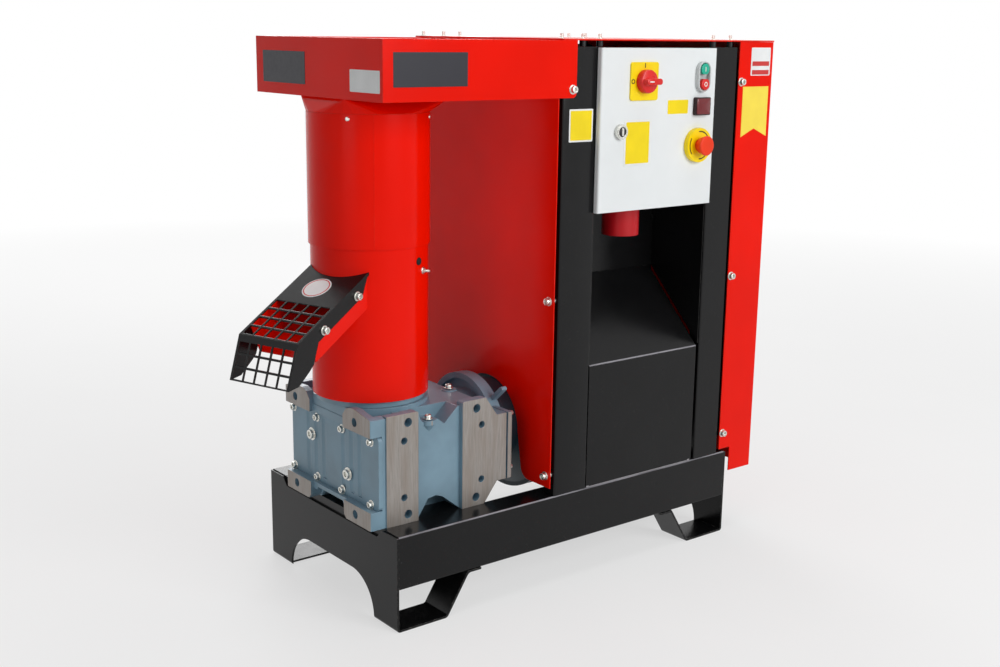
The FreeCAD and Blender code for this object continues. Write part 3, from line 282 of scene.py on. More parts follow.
def hex_screw(across, head, washer_radius, thick):
    """A washer and a six-sided head, whose corners a cone trims and whose top is dished."""
    flat, corner = across / 2, across / 2 * 1.1547
    block = [
        (flat, corner, 0), (flat, corner, head - 1.1), (flat, corner * 0.95, head - 0.5),
        (flat, flat, head), (flat * 0.82, flat * 0.82, head), (flat * 0.74, flat * 0.74, head - 0.3),
    ]
    return [washer(washer_radius, thick), moved(six_sided(block), thick)]


def socket_screw(radius, head, washer_radius):
    """A round head with a rolled edge and a six-sided hole sunk in its middle, on a washer."""
    key, thick, free = radius * 0.5, 1.2, 99.0
    rim = [(radius, 0), (radius, head - 1.0), (radius - 0.3, head - 0.35), (radius - 1.0, head)]
    wide = [(2 * limit, limit, height) for limit, height in rim]
    hole = [(key + 0.4, free, head), (key, free, head - 0.5), (key * 0.96, free, head * 0.42)]
    return [moved(six_sided(wide + hole), thick), washer(washer_radius, thick)]


def thread(radius, length):
    """The end of a threaded rod: its radius swings by a fifth of the pitch along the length, and
    its tip is chamfered."""
    pitch = 0.8
    h = np.linspace(0, length - pitch, int(length / pitch) * 4 + 1)
    r = radius - 0.2 * pitch * (1 - np.cos(h * 2 * np.pi / pitch))
    tip = [(radius * 0.97, length - pitch * 0.6), (radius * 0.9, length)]
    return turned(list(zip(r, h)) + tip, 20)


# Finishes
class Nodes:
    """Lays nodes in a tree and links them."""

    def __init__(self, tree):
        self.tree = tree
        tree.nodes.clear()

    def link(self, source, socket):
        self.tree.links.new(source, socket)

    def put(self, kind, **values):
        """A node, whose named sockets or settings get these values."""
        node = self.tree.nodes.new(kind)
        for key, value in values.items():
            socket = key.replace("_", " ")
            if socket in node.inputs:
                node.inputs[socket].default_value = value
            else:
                setattr(node, key, value)
        return node

    def feed(self, socket, value):
        """Links an output to a socket, or sets a plain number or colour on it."""
        if isinstance(value, (int, float)):
            socket.default_value = value
        elif isinstance(value, tuple):
            socket.default_value = (*value, 1.0)
        else:
            self.link(value, socket)

    def math(self, how, first, second):
        node = self.put("ShaderNodeMath", operation=how)
        self.feed(node.inputs[0], first)
        self.feed(node.inputs[1], second)
        return node.outputs[0]

    def times(self, first, second):
        return self.math("MULTIPLY", first, second)

    def seen(self):
        """1 for a camera, glossy or clear ray, else 0."""
        path = self.put("ShaderNodeLightPath")
        rays = self.math("MAXIMUM", path.outputs["Is Camera Ray"], path.outputs["Is Glossy Ray"])
        return self.math("MAXIMUM", rays, path.outputs["Is Transmission Ray"])

    def mixed(self, share, first, second):
        """Two shaders mixed."""
        node = self.put("ShaderNodeMixShader")
        for socket, source in zip(node.inputs, (share, first, second)):
            self.link(source, socket)
        return node.outputs[0]


class Finish(Nodes):
    """Lays the nodes of one procedural finish, which reads Object coordinates."""

    def __init__(self, name, **constants):
        self.material = bpy.data.materials.new(name)
        self.material.use_nodes = True
        super().__init__(self.material.node_tree)
        self.out = self.put("ShaderNodeOutputMaterial")
        self.shader = self.put("ShaderNodeBsdfPrincipled", **constants)
        self.link(self.shader.outputs[0], self.out.inputs[0])
        self.coord = self.put("ShaderNodeTexCoord").outputs["Object"]

    def surface(self, name, value):
        self.feed(self.shader.inputs[name], value)

    def stretched(self, scale):
        """Object coordinates times a scale along each axis."""
        node = self.put("ShaderNodeMapping", Scale=scale)
        self.link(self.coord, node.inputs["Vector"])
        return node.outputs[0]

    def noise(self, scale, detail=3.0, rough=0.5, source=None):
        node = self.put("ShaderNodeTexNoise", Scale=scale, Detail=detail, Roughness=rough)
        self.link(source or self.coord, node.inputs["Vector"])
        return node.outputs["Fac"]

    def ramp(self, source, low, high, first=0.0, last=1.0):
        """The source's stretch from low to high turned to first to last, held at both ends."""
        node = self.put("ShaderNodeMapRange", From_Min=low, From_Max=high, To_Min=first, To_Max=last)
        self.link(source, node.inputs["Value"])
        return node.outputs[0]

    def blend(self, share, first, second):
        node = self.put("ShaderNodeMix", data_type="RGBA")
        colours = [socket for socket in node.inputs if socket.type == "RGBA"]
        self.feed(node.inputs[0], share)
        self.feed(colours[0], first)
        self.feed(colours[1], second)
        return [socket for socket in node.outputs if socket.type == "RGBA"][0]

    def drift(self, colour, scale, detail, low, high, dark, pale):
        """A colour that a slow noise carries between two of its shades."""
        share = self.ramp(self.noise(scale, detail), low, high)
        return self.blend(share, shade(colour, dark), shade(colour, pale))

    def axis(self, name):
        node = self.put("ShaderNodeSeparateXYZ")
        self.link(self.coord, node.inputs[0])
        return node.outputs[name]

    def rounded(self, radius):
        """The normal as if edges were rounded to this radius."""
        return self.put("ShaderNodeBevel", samples=4, Radius=radius).outputs[0]

    def worn(self, radius, scale, low, high):
        """How worn an edge is: the rounded normal leaves the flat one there, and a noise breaks
        the strip into chips."""
        flat = self.put("ShaderNodeNewGeometry")
        turn = self.put("ShaderNodeVectorMath", operation="DOT_PRODUCT")
        self.link(self.rounded(radius), turn.inputs[0])
        self.link(flat.outputs["Normal"], turn.inputs[1])
        strip = self.ramp(turn.outputs["Value"], 0.985, 0.9)
        return self.times(strip, self.ramp(self.noise(scale, 5.0, 0.65), low, high))

    def near_line(self, y, z, radius=0.003):
        """How near a spot is to a level bend along X at this y and z, 0 at the radius and 1 at half
        of it, where its rounded normal points partly upwards."""
        away = self.math("SUBTRACT", self.axis("Y"), float(y))
        high = self.math("SUBTRACT", self.axis("Z"), float(z))
        away = self.math("SQRT", self.math("ADD", self.times(away, away), self.times(high, high)), 0.0)
        ways = self.put("ShaderNodeSeparateXYZ")
        self.link(self.rounded(radius), ways.inputs[0])
        near = self.ramp(away, radius, radius / 2)
        return self.times(near, self.ramp(ways.outputs["Z"], 0.08, 0.25))

    def edges(self, radius, height, strength, distance):
        """Rounds the shading of sharp edges and lays a height over it."""
        bump = self.put("ShaderNodeBump", Strength=strength, Distance=distance)
        self.link(height, bump.inputs["Height"])
        self.link(self.rounded(radius), bump.inputs["Normal"])
        self.link(bump.outputs[0], self.shader.inputs["Normal"])
        return self.material


def red_coat(colour):
    """Glossy powder coat: a slow drift of shade, fine orange peel, slightly uneven gloss, edges a
    little paler, partly thin-coat wear and partly painted highlight, and a painted highlight line along
    the top cover's front edge."""
    f = Finish("red_powder_coat", Specular_IOR_Level=0.1)
    paint = f.drift(colour, 5.0, 2.0, 0.35, 0.65, 0.94, 1.04)
    # Edges a little paler: partly thin-coat wear, partly painted highlight
    paler_edges = f.times(f.worn(0.0014, 60.0, 0.42, 0.62), 0.2)
    paint = f.blend(paler_edges, paint, tone(255, 120, 100))
    # Painted highlight: a pale line along the top cover's front top edge
    edge = f.near_line(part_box("top_cover")[0][1], TOP_FACE / 1000, 0.002)
    f.surface("Base Color", f.blend(f.times(edge, 0.7), paint, tone(235, 190, 170)))
    f.surface("Roughness", f.ramp(f.noise(30.0, 4.0, 0.6), 0.3, 0.75, 0.15, 0.25))
    return f.edges(0.0012, f.noise(700.0, 2.0), 0.10, 0.0003)


def black_coat(colour, bare):
    """Semi-gloss powder coat: fine grain, pale dust in specks, corners near the floor knocked bare,
    and a painted highlight along the front beam's top bend and the lower panel's bend."""
    f = Finish("black_powder_coat", Specular_IOR_Level=0.22)
    paint = f.drift(colour, 7.0, 3.0, 0.35, 0.65, 0.85, 1.15)
    dust = f.ramp(f.noise(420.0, 2.0, 0.5), 0.7, 0.78, 0.0, 0.12)
    paint = f.blend(dust, paint, tone(150, 150, 145))
    low = f.ramp(f.axis("Z"), 0.16, 0.02)
    chips = f.times(f.worn(0.0018, 120.0, 0.5, 0.58), f.ramp(low, 0.0, 1.0, 0.25, 0.9))
    paint = f.blend(chips, paint, bare)
    # Painted highlight: broken pale lines along the front beam's top bend and the lower panel's bend
    beam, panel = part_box("base_front_beam"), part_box("lower_panel")
    highlight_bends = (beam[0][1], beam[1][2]), (panel[0][1], PANEL_BEND / 1000)
    bend = f.math("MAXIMUM", *[f.near_line(y, z) for y, z in highlight_bends])
    bend = f.times(bend, f.ramp(f.noise(16.0, 3.0), 0.35, 0.6, 0.5, 0.95))
    f.surface("Base Color", f.blend(bend, paint, tone(170, 168, 175)))
    f.surface("Roughness", f.ramp(f.noise(26.0, 4.0, 0.6), 0.3, 0.75, 0.18, 0.28))
    return f.edges(0.0013, f.noise(1100.0, 2.0), 0.12, 0.0003)


def casting_paint(name, colour, milled_at=None):
    """Painted casting: sandy bumps of 1 to 3 mm and darker hollows. Where milled_at gives the
    planes milled flat, the steel there is bare, with fine strokes along Z and brownish clouds."""
    f = Finish(name)
    sand = f.noise(380.0, 4.0, 0.6)
    broad = f.ramp(f.noise(13.0, 3.0), 0.3, 0.7)
    paint = f.blend(broad, shade(colour, 0.84), shade(colour, 1.12))
    paler_edges = f.times(f.worn(0.0016, 90.0, 0.45, 0.6), 0.3)
    paint = f.blend(paler_edges, paint, shade(colour, 1.7))
    if not milled_at:
        f.surface("Base Color", paint)
        f.surface("Roughness", f.ramp(broad, 0.0, 1.0, 0.34, 0.46))
        return f.edges(0.0016, sand, 0.3, 0.0005)
    front, back, end = milled_at
    y, x = f.axis("Y"), f.axis("X")
    milled = f.math("MAXIMUM", f.math("LESS_THAN", y, front), f.math("GREATER_THAN", y, back))
    milled = f.math("MAXIMUM", milled, f.math("LESS_THAN", x, end))
    strokes = f.noise(300.0, 4.0, 0.6, f.stretched((3.0, 3.0, 0.1)))
    bands = f.noise(28.0, 3.0, 0.6, f.stretched((2.0, 2.0, 0.25)))
    steel = f.blend(f.ramp(strokes, 0.3, 0.7), tone(136, 131, 126), tone(164, 159, 154))
    steel = f.blend(f.ramp(bands, 0.4, 0.7, 0.0, 0.6), steel, tone(136, 124, 114))
    f.surface("Base Color", f.blend(milled, paint, steel))
    f.surface("Metallic", f.times(milled, 0.45))
    f.surface("Roughness", f.ramp(milled, 0.0, 1.0, 0.36, 0.42))
    grain = f.times(f.times(strokes, milled), 0.15)
    rough_cast = f.times(sand, f.math("SUBTRACT", 1.0, milled))
    return f.edges(0.0014, f.math("ADD", rough_cast, grain), 0.3, 0.0005)


def bare_metal(name, colour, low, high):
    """Plated or turned metal: fine mottling in colour and gloss, edges a little brighter."""
    grain = 500.0
    f = Finish(name, Metallic=1.0)
    cloud = f.noise(grain, 3.0)
    plate = f.blend(f.ramp(cloud, 0.35, 0.65), shade(colour, 0.78), colour)
    f.surface("Base Color", f.blend(f.worn(0.0004, grain, 0.35, 0.6), plate, shade(colour, 1.2)))
    f.surface("Roughness", f.ramp(f.noise(grain * 0.4, 4.0), 0.3, 0.7, low, high))
    return f.edges(0.0004, cloud, 0.08, 0.0002)


def smooth_enamel(name, colour):
    """Pale enamel on sheet: very fine grain, faint smears, and edges a shade darker."""
    f = Finish(name, Specular_IOR_Level=0.3)
    paint = f.drift(colour, 9.0, 3.0, 0.3, 0.7, 0.97, 1.02)
    smear = f.ramp(f.noise(40.0, 5.0, 0.7, f.stretched((1.0, 1.0, 0.4))), 0.62, 0.8, 0.0, 0.12)
    paint = f.blend(smear, paint, shade(colour, 0.8))
    f.surface("Base Color", f.blend(f.worn(0.0012, 80.0, 0.3, 0.6), paint, shade(colour, 0.88)))
    f.surface("Roughness", f.ramp(f.noise(60.0, 3.0), 0.3, 0.7, 0.3, 0.42))
    return f.edges(0.0012, f.noise(1600.0, 2.0), 0.06, 0.0002)


def moulded(name, colour, rough, coat):
    """Moulded plastic, rubber or printed film: a faint texture, slightly uneven colour, and edges
    polished by use."""
    f = Finish(name, Coat_Weight=coat, Specular_IOR_Level=0.3)
    body = f.drift(colour, 25.0, 3.0, 0.3, 0.7, 0.93, 1.03)
    f.surface("Base Color", f.blend(f.worn(0.0005, 200.0, 0.4, 0.6), body, shade(colour, 1.12)))
    f.surface("Roughness", f.ramp(f.noise(140.0, 3.0), 0.3, 0.7, rough * 0.8, rough * 1.2))
    return f.edges(0.0006, f.noise(900.0, 2.0), 0.1, 0.0002)


def milled_planes():
    """Y of the front and back milled pads and x of the end ones, each with a skim inwards."""
    low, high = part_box("gearbox_housing")
    skim = 0.0006
    return low[1] + skim, high[1] - skim, low[0] + skim


def chosen(key):
    """A colour that the panel offers."""
    return tuple(getattr(bpy.context.scene.mill_colours, key))


MAKERS = {
    "red": lambda: red_coat(chosen("covers")),
    "black": lambda: black_coat(chosen("frame"), tone(120, 118, 112)),
    "casting": lambda: casting_paint("casting_paint", chosen("casting"), milled_planes()),
    "plain_casting": lambda: casting_paint("end_cover_paint", chosen("casting")),
    "motor": lambda: casting_paint("motor_paint", tone(16, 44, 56)),
    "turned": lambda: bare_metal("turned_steel", tone(170, 168, 160), 0.25, 0.45),
    "zinc": lambda: bare_metal("zinc_plate", tone(222, 222, 216), 0.2, 0.36),
    "dark_steel": lambda: bare_metal("blackened_steel", tone(58, 56, 58), 0.35, 0.5),
    "enamel": lambda: smooth_enamel("light_grey_enamel", chosen("control_box")),
}
# Display colour, roughness and share of clear coat of moulded and printed finishes
MOULDED = {
    "grey_plastic": ((168, 176, 178), 0.35, 0.0),
    "silver_plastic": ((200, 205, 205), 0.3, 0.0),
    "yellow_plastic": ((255, 224, 0), 0.35, 0.1),
    "red_plastic": ((222, 34, 30), 0.3, 0.1),
    "signal_red_plastic": ((240, 58, 18), 0.35, 0.0),
    "inlet_red_plastic": ((190, 18, 28), 0.4, 0.0),
    "green_plastic": ((20, 178, 148), 0.28, 0.2),
    "black_plastic": ((40, 12, 18), 0.3, 0.0),
    "lamp_lens": ((112, 8, 20), 0.15, 0.4),
    "seal_rubber": ((26, 26, 27), 0.7, 0.0),
    "white_film": ((238, 240, 240), 0.4, 0.0),
    "black_film": ((38, 38, 46), 0.35, 0.0),
    "yellow_film": ((250, 222, 20), 0.4, 0.0),
    "pale_yellow_film": ((255, 228, 84), 0.4, 0.0),
    "red_film": ((205, 60, 58), 0.4, 0.0),
    # dull_print is the pale grey of a painted highlight line, not a print
    "dark_print": ((70, 54, 20), 0.45, 0.0),
    "dull_print": ((150, 148, 152), 0.5, 0.0),
    "white_print": ((244, 240, 236), 0.4, 0.0),
}
FINISHES = {}


def finish_of(key):
    """The finish of that name, made when first asked for."""
    if key not in FINISHES:
        if key in MOULDED:
            colour, rough, coat = MOULDED[key]
            FINISHES[key] = moulded(key, tone(*colour), rough, coat)
        else:
            FINISHES[key] = MAKERS[key]()
    return FINISHES[key]


def dress(key, *nodes):
    """Gives nodes of the frame a finish."""
    for node in nodes:
        piece = frame["nodes"][node]
        piece.data.materials.clear()
        piece.data.materials.append(finish_of(key))


# Values that a user changes
def colour_value(name, description, *levels):
    return bpy.props.FloatVectorProperty(
        name=name, description=description, subtype="COLOR", size=3, min=0, max=1, default=tone(*levels))


def length_value(name, description, default, low, high):
    return bpy.props.FloatProperty(
        name=name, description=description, default=default, min=low, max=high, unit="LENGTH")


def share_value(name, description, default, high):
    return bpy.props.FloatProperty(
        name=name, description=description, default=default, min=0.0, max=high, subtype="FACTOR")


class MillColours(bpy.types.PropertyGroup):
    covers: colour_value("Covers", "Powder coat of the drum, hopper and covers", 242, 20, 0)
    frame: colour_value("Frame", "Powder coat of the frame, posts and guard", 15, 15, 16)
    casting: colour_value("Casting", "Paint of the gearbox casting", 120, 150, 167)
    control_box: colour_value("Control box", "Enamel of the control box", 234, 238, 239)


class MillFasteners(bpy.types.PropertyGroup):
    head_radius: length_value("Screw radius", "Head radius of the cover screws", 0.0065, 0.004, 0.009)
    head: length_value("Head height", "Height of the cover screws' heads", 0.0070, 0.003, 0.010)
    washer: length_value(
        "Washer radius", "Radius of the washers under the cover screws", 0.0086, 0.007, 0.012)
    gearbox_head: length_value(
        "Gearbox screw radius", "Head radius of the gearbox cover screws", 0.0062, 0.004, 0.010)
    plug: length_value("Plug radius", "Head radius of the plugs in the gearbox cover", 0.009, 0.006, 0.014)


class MillPlates(bpy.types.PropertyGroup):
    thickness: length_value("Plate thickness", "Thickness of the blank plates", 0.0005, 0.0002, 0.002)
    corner: length_value("Plate corner", "Corner radius of the blank plates", 0.002, 0.0005, 0.010)
    disc: length_value("Disc radius", "Radius of the round plate on the chute guard", 0.027, 0.010, 0.035)


class MillStage(bpy.types.PropertyGroup):
    daylight: share_value("Daylight", "Strength of the world as it lights the object", 0.16, 2.0)
    lamps: share_value("Lamps", "Share of the lamps' full power", 1.0, 3.0)
    floor_white: share_value(
        "Floor white", "Share of plain white seen in the floor near the object", 0.6, 1.0)


# Operators
class MILL_OT_side_sheets(bpy.types.Operator):
    """Left cover as one flat sheet with an arch, and the two left posts as plain channels. The
    sheet is a wall between two planes of x, from the arch path up to a level top. Each post is a
    wall on a channel path, whose two bends are quarter circles, under a flat cap."""
    bl_idname = "pellet_mill.side_sheets"
    bl_label = "Side sheets"

    def execute(self, context):
        (_, front, _), (_, rear, top) = reach("left_cover")
        foot, centre, crown = 199.0, 193.0, 382.0
        y, z = arch_path(front, rear, foot, centre, crown).T
        (x0, x1), high = (x + 0 * y for x in LEFT_SHEET), top + 0 * y
        corners = (x0, y, high), (x1, y, high), (x1, y, z), (x0, y, z)
        panel = skin(np.stack([np.stack(c, -1) for c in corners], 1))
        sheet = make_piece("left_cover_sheet", [panel], [UPRIGHT], *RED_SHEET)
        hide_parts("left_cover")

        bend, wall, depth = 4.0, 3.0, 28.0
        low, high = reach("front_post_left")
        path = np.concatenate([
            [(POST_FACE, depth)],
            round_outline(bend, math.pi, 1.5 * math.pi, 6) + [POST_FACE + bend, bend],
            round_outline(bend, 1.5 * math.pi, 2 * math.pi, 6) + [high[0] - bend, bend],
            [(high[0], depth)],
        ])
        total, width = reach("back_post_left")[1][1], high[0] - POST_FACE
        for name, node, line in (
            ("left_post_front_channel", "front_post_left", path),
            ("left_post_back_channel", "back_post_left", path[::-1] * [1, -1] + [0, total]),
        ):
            middle = [POST_FACE + width / 2, line[:, 1].min() + depth / 2]
            outline = rounded_outline(width, depth, 2.0) + middle
            cap = stacked([(outline, high[2] - wall), (outline, high[2])])
            shapes = [folded_sheet(line, wall, low[2], high[2] - wall), cap]
            post = make_piece(name, shapes, [UPRIGHT], *BLACK_SHEET)
            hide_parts(node)
        return {"FINISHED"}


class MILL_OT_frame(bpy.types.Operator):
    """Black powder coat on the base, posts, panels and chute guard"""
    bl_idname = "pellet_mill.frame"
    bl_label = "Frame finish"

    def execute(self, context):
        dress("black", "base_gearbox_end_plate", "base_cabinet_end_plate", "base_front_beam",
              "base_back_beam", "gearbox_bed", "front_post_left", "front_post_right", "back_post_left",
              "back_post_right", "back_panel", "lower_panel", "recess_left_wall", "recess_right_wall",
              "recess_back_wall", "chute_guard")
        return {"FINISHED"}


class MILL_OT_covers(bpy.types.Operator):
    """Red powder coat on the drum, chute, hopper and covers"""
    bl_idname = "pellet_mill.covers"
    bl_label = "Cover finish"

    def execute(self, context):
        dress("red", "lower_drum", "upper_drum", "outlet_chute", "hopper_tray", "hopper_throat",
              "left_cover", "right_cover", "top_cover")
        return {"FINISHED"}


class MILL_OT_drive(bpy.types.Operator):
    """Casting paint on the gearbox, dark paint on the motor, turned steel on die and rollers"""
    bl_idname = "pellet_mill.drive"
    bl_label = "Drive finish"

    def execute(self, context):
        dress("casting", "gearbox_housing")
        dress("plain_casting", "gearbox_end_cover", "gearbox_output_ring")
        dress("motor", "motor_body", "motor_fan_cowl", "motor_terminal_box")
        dress("turned", "main_shaft", "discharge_disc", "die_plate", "roller_axle", "roller_left",
              "roller_right")
        return {"FINISHED"}


class MILL_OT_controls(bpy.types.Operator):
    """Enamel, plastics and rubber of the control box"""
    bl_idname = "pellet_mill.controls"
    bl_label = "Control box finish"

    def execute(self, context):
        dress("enamel", "control_box_body", "control_box_door")
        dress("zinc", "mounting_plate", "door_lock", "door_hinges")
        dress("seal_rubber", "door_seal")
        dress("grey_plastic", "contactor_set")
        dress("yellow_plastic", "main_switch_plate", "emergency_stop_ring")
        dress("signal_red_plastic", "emergency_stop_button")
        dress("inlet_red_plastic", "power_inlet")
        dress("black_plastic", "indicator_lamp")
        return {"FINISHED"}


class MILL_OT_control_marks(bpy.types.Operator):
    """Surround, caps and knob of the switches, lamp lens, lock slot, and the on and off marks. The
    surround stacks oblong outlines up its outside, over the rim and down to its floor. A cap stacks
    one cut circle, which shrinks over the last millimetre. The knob is a turned dial with an oblong
    grip stacked in the same way."""
    bl_idname = "pellet_mill.control_marks"
    bl_label = "Control marks"

    def execute(self, context):
        door_face = reach("control_box_door")[0][1]
        cap_base = door_face - 4.0

        def middle(node, across=0.0, up=0.0, y=None):
            low, high = reach(node)
            y = low[1] if y is None else y
            return (low[0] + high[0]) / 2 + across, y, (low[2] + high[2]) / 2 + up

        def put(name, shapes, place, body, slot, finish):
            return make_piece(name, shapes, [(place, FRONT)], body, slot, finish)

        outer = rounded_outline(34.0, 58.0, 16.9, 12)
        inner = rounded_outline(26.4, 52.4, 13.1, 12)
        tray = stacked([(outer, 0.0), (outer, 7.4), (outer * 0.97, 8.6), (inner * 1.04, 9.0),
                        (inner, 8.2), (inner, 1.0)])
        place = middle("start_stop_bezel", y=door_face)
        bezel = put("start_stop_surround", [tray], place, "control_door", "grey_plastic", "silver_plastic")
        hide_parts("start_stop_bezel")

        mark_rise = 0.3
        stroke = thin_plate(rounded_outline(1.9, 9.0, 0.6), mark_rise)
        ring = raised_line(round_outline(3.6, steps=28), 1.7, mark_rise, looped=True)
        pushes = (("start", "green_plastic", 1, 6.2, stroke), ("stop", "red_plastic", -1, 8.2, ring))
        for name, slot, turn, rise, _ in pushes:
            shape = button_outline(11.0, 9.6, 2.0) * turn
            cap = stacked([(shape, 0.0), (shape, rise - 1.2), (shape * 0.97, rise - 0.4),
                           (shape * 0.88, rise)])
            place = middle(name + "_button", y=cap_base)
            piece = put(name + "_cap", [cap], place, name + "_push", slot, slot)
            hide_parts(name + "_button")
        for name, slot, _, rise, mark in pushes:
            place = middle(name + "_button", y=cap_base - rise)
            put(name + "_mark", [mark], place, name + "_push", slot, "white_print")

        printed = ("control_door", "yellow_plastic", "dark_print")
        for name, mark, across, up in (
            ("switch_on_mark", stroke, 0.0, 29.0), ("switch_off_mark", ring, -29.5, 0.0),
        ):
            put(name, [mark], middle("main_switch_plate", across, up), *printed)

        low, high = reach("main_switch_knob")
        axis_in, grip_ahead, mark_back = 24.0, 1.5, 7.0
        x, z, tall = low[0] + axis_in, (low[2] + high[2]) / 2, high[1] - low[1]
        dial = turned([(21.5, 0), (21.5, 11.5), (20.4, 13.6), (18.0, 14.6)], 48)
        outline = rounded_outline(39.0, 11.5, 5.0)
        grip = stacked([
            (outline * share + [grip_ahead, 0.0], height)
            for share, height in ((1.0, 0.0), (1.0, tall - 1.6), (0.97, tall - 0.5), (0.9, tall))
        ])
        place = (x, high[1], z)
        knob = put("switch_knob", [dial, grip], place, "main_switch", "red_plastic", "red_plastic")
        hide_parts("main_switch_knob")
        mark = thin_plate(rounded_outline(11.0, 2.4, 0.8), mark_rise)
        place = (x - mark_back, low[1], z)
        put("switch_pointer", [mark], place, "main_switch", "red_plastic", "white_print")

        release = [raised_line(round_outline(26.5, start, start + 1.2, 20), 2.2, mark_rise)
                   for start in (0.5, 2.6, 4.7)]
        put("release_marks", release, middle("emergency_stop_ring"), *printed)

        lens = thin_plate(rounded_outline(35.5, 30.0, 3.0), 1.6, 1.4)
        put("lamp_lens", [lens], middle("indicator_lamp"), "control_door", "red_plastic", "lamp_lens")

        well = turned([(9.0, 0), (9.0, 0.2), (8.7, 0.35)], 32)
        put("lock_well", [well], middle("door_lock"), "lock", "zinc_steel", "dark_steel")
        wing = thin_plate(rounded_outline(5.0, 14.5, 1.6), 2.2, 0.6)
        rim = raised_line(round_outline(10.6, steps=32), 2.4, 1.0, looped=True)
        put("lock_wing", [wing, rim], middle("door_lock"), "lock", "zinc_steel", "zinc")
        return {"FINISHED"}


class MILL_OT_cover_screws(bpy.types.Operator):
    """Socket screws with washers on the covers and the hopper, front and rear, and the spacers
    behind the left cover"""
    bl_idname = "pellet_mill.cover_screws"
    bl_label = "Cover screws"

    def execute(self, context):
        sizes = context.scene.mill_fasteners
        radius, ring, low_head = sizes.head_radius * 1000, sizes.washer * 1000, 3.6
        screw = socket_screw(radius, sizes.head * 1000, ring)
        flat_screw = socket_screw(radius, low_head, ring)
        low, high = reach("right_cover")
        x, levels = low[0] + 8, (953, 561, 223)
        hopper = (378, reach("hopper_tray")[0][1], 945)
        row_of("front_cover_screws", screw, FRONT, [(x, low[1], z) for z in levels] + [hopper])
        row_of("rear_cover_screws", flat_screw, REAR, [(x, high[1], z) for z in levels])

        (face, back), side = LEFT_SHEET, [(y, z) for y in (12.0, 446.0) for z in (560, 221)]
        row_of("left_cover_screws", screw, LEFT, [(face, y, z) for y, z in side])
        spacer = turned([(6.0, 0), (6.0, POST_FACE - back)])
        row_of("left_cover_spacers", [spacer], RIGHT, [(back, y, z) for y, z in side])
        return {"FINISHED"}


class MILL_OT_top_studs(bpy.types.Operator):
    """Threads on the stud ends above the top cover, each over a small washer, and dark sleeves on
    the studs below it"""
    bl_idname = "pellet_mill.top_studs"
    bl_label = "Top studs"

    def execute(self, context):
        low, high = reach("top_cover")
        edge = 14.0
        columns = (363.0, 413.0, 454.0, 752.0, 801.0)
        spots = [(x, y) for x in columns for y in (edge, low[1] + high[1] - edge)]
        shapes = [thread(3.45, high[2] - TOP_FACE + 0.15), washer(5.6, 0.9)]
        row_of("top_stud_threads", shapes, UP, [(x, y, TOP_FACE) for x, y in spots])
        sleeve = turned([(6.3, 0.1), (6.3, 10.9)])
        row_of("top_stud_sleeves", [sleeve], UP, [(x, y, POST_TOP) for x, y in spots], BLACK_SHEET)
        return {"FINISHED"}


class MILL_OT_drum_screws(bpy.types.Operator):
    """Small screws round the top of the drum, its upright seam, and the plug and clamp screw below"""
    bl_idname = "pellet_mill.drum_screws"
    bl_label = "Drum screws"

    def execute(self, context):
        sunk = 0.2

        def on_drum(radius, degrees, height):
            a = math.radians(degrees)
            normal = (math.cos(a), math.sin(a), 0.0)
            flat = DRUM_AXIS + radius * np.array(normal[:2])
            return (flat[0], flat[1], height), normal

        low, high = reach("upper_drum")
        radius = (high[0] - low[0]) / 2
        ring = [on_drum(radius - sunk, angle, high[2] - 8) for angle in (-140.9, -44.9, 45.0, 135.0)]
        button = turned([(4.0, 0), (4.0, 0.7), (3.4, 1.6), (2.2, 2.3), (0.8, 2.5)], 24)
        make_piece("drum_top_screws", [button], ring, *ZINC_PARTS)

        seam = thin_plate(rounded_outline(1.5, high[2] - low[2] - 1.0, 0.5), 0.5, 0.2)
        where = on_drum(radius - 0.1, -117.5, (low[2] + high[2]) / 2)
        make_piece("drum_seam", [seam], [where], *RED_SHEET)

        low, high = reach("lower_drum")
        radius = (high[0] - low[0]) / 2
        plug = turned([(7.0, 0), (7.0, 1.0), (6.2, 2.0), (3.8, 2.6), (1.5, 2.7)], 28)
        places = [on_drum(radius - sunk, -67.5, 645.0)]
        make_piece("drum_plug", [plug], places, "machine", "zinc_steel", "seal_rubber")
        clamp = hex_screw(8.0, 4.0, 7.0, 1.3) + [thread(2.6, 13.5)]
        make_piece("drum_clamp_screw", clamp, [on_drum(radius - sunk, -58.6, 626.0)], *ZINC_PARTS)
        return {"FINISHED"}


class MILL_OT_guard_screws(bpy.types.Operator):
    """Socket screws on both cheeks of the chute guard, and its round blank plate"""
    bl_idname = "pellet_mill.guard_screws"
    bl_label = "Guard screws"

    def execute(self, context):
        sizes = context.scene.mill_fasteners
        ahead = np.array([math.cos(GUARD_TURN), math.sin(GUARD_TURN)])
        side = np.array([-ahead[1], ahead[0]])
        screw = socket_screw(sizes.head_radius * 1000, sizes.head * 1000, sizes.washer * 1000)

        def guard_spot(along, across, height):
            flat = DRUM_AXIS + along * ahead + across * side
            return flat[0], flat[1], height

        half = 65.9
        rows = [(116.7, 596.7), (204.6, 552.8)]
        places = [
            (guard_spot(along, face * half, height), (*(face * side), 0.0))
            for along, height in rows for face in (-1, 1)
        ]
        make_piece("guard_screws", screw, places, *ZINC_PARTS)

        plates = context.scene.mill_plates
        radius, thick = plates.disc * 1000, plates.thickness * 1000
        up = (*(ahead * math.sin(GUARD_SLOPE)), math.cos(GUARD_SLOPE))
        place = [(guard_spot(139.5, -5.8, 606.6), up)]
        disc = thin_plate(round_outline(radius), thick)
        make_piece("guard_disc", [disc], place, "machine", "black_powder_coat", "white_film")
        rim = moved(raised_line(round_outline(radius - 3.4), 2.0, 0.2, looped=True), thick)
        make_piece("guard_disc_rim", [rim], place, "machine", "black_powder_coat", "red_film")
        return {"FINISHED"}


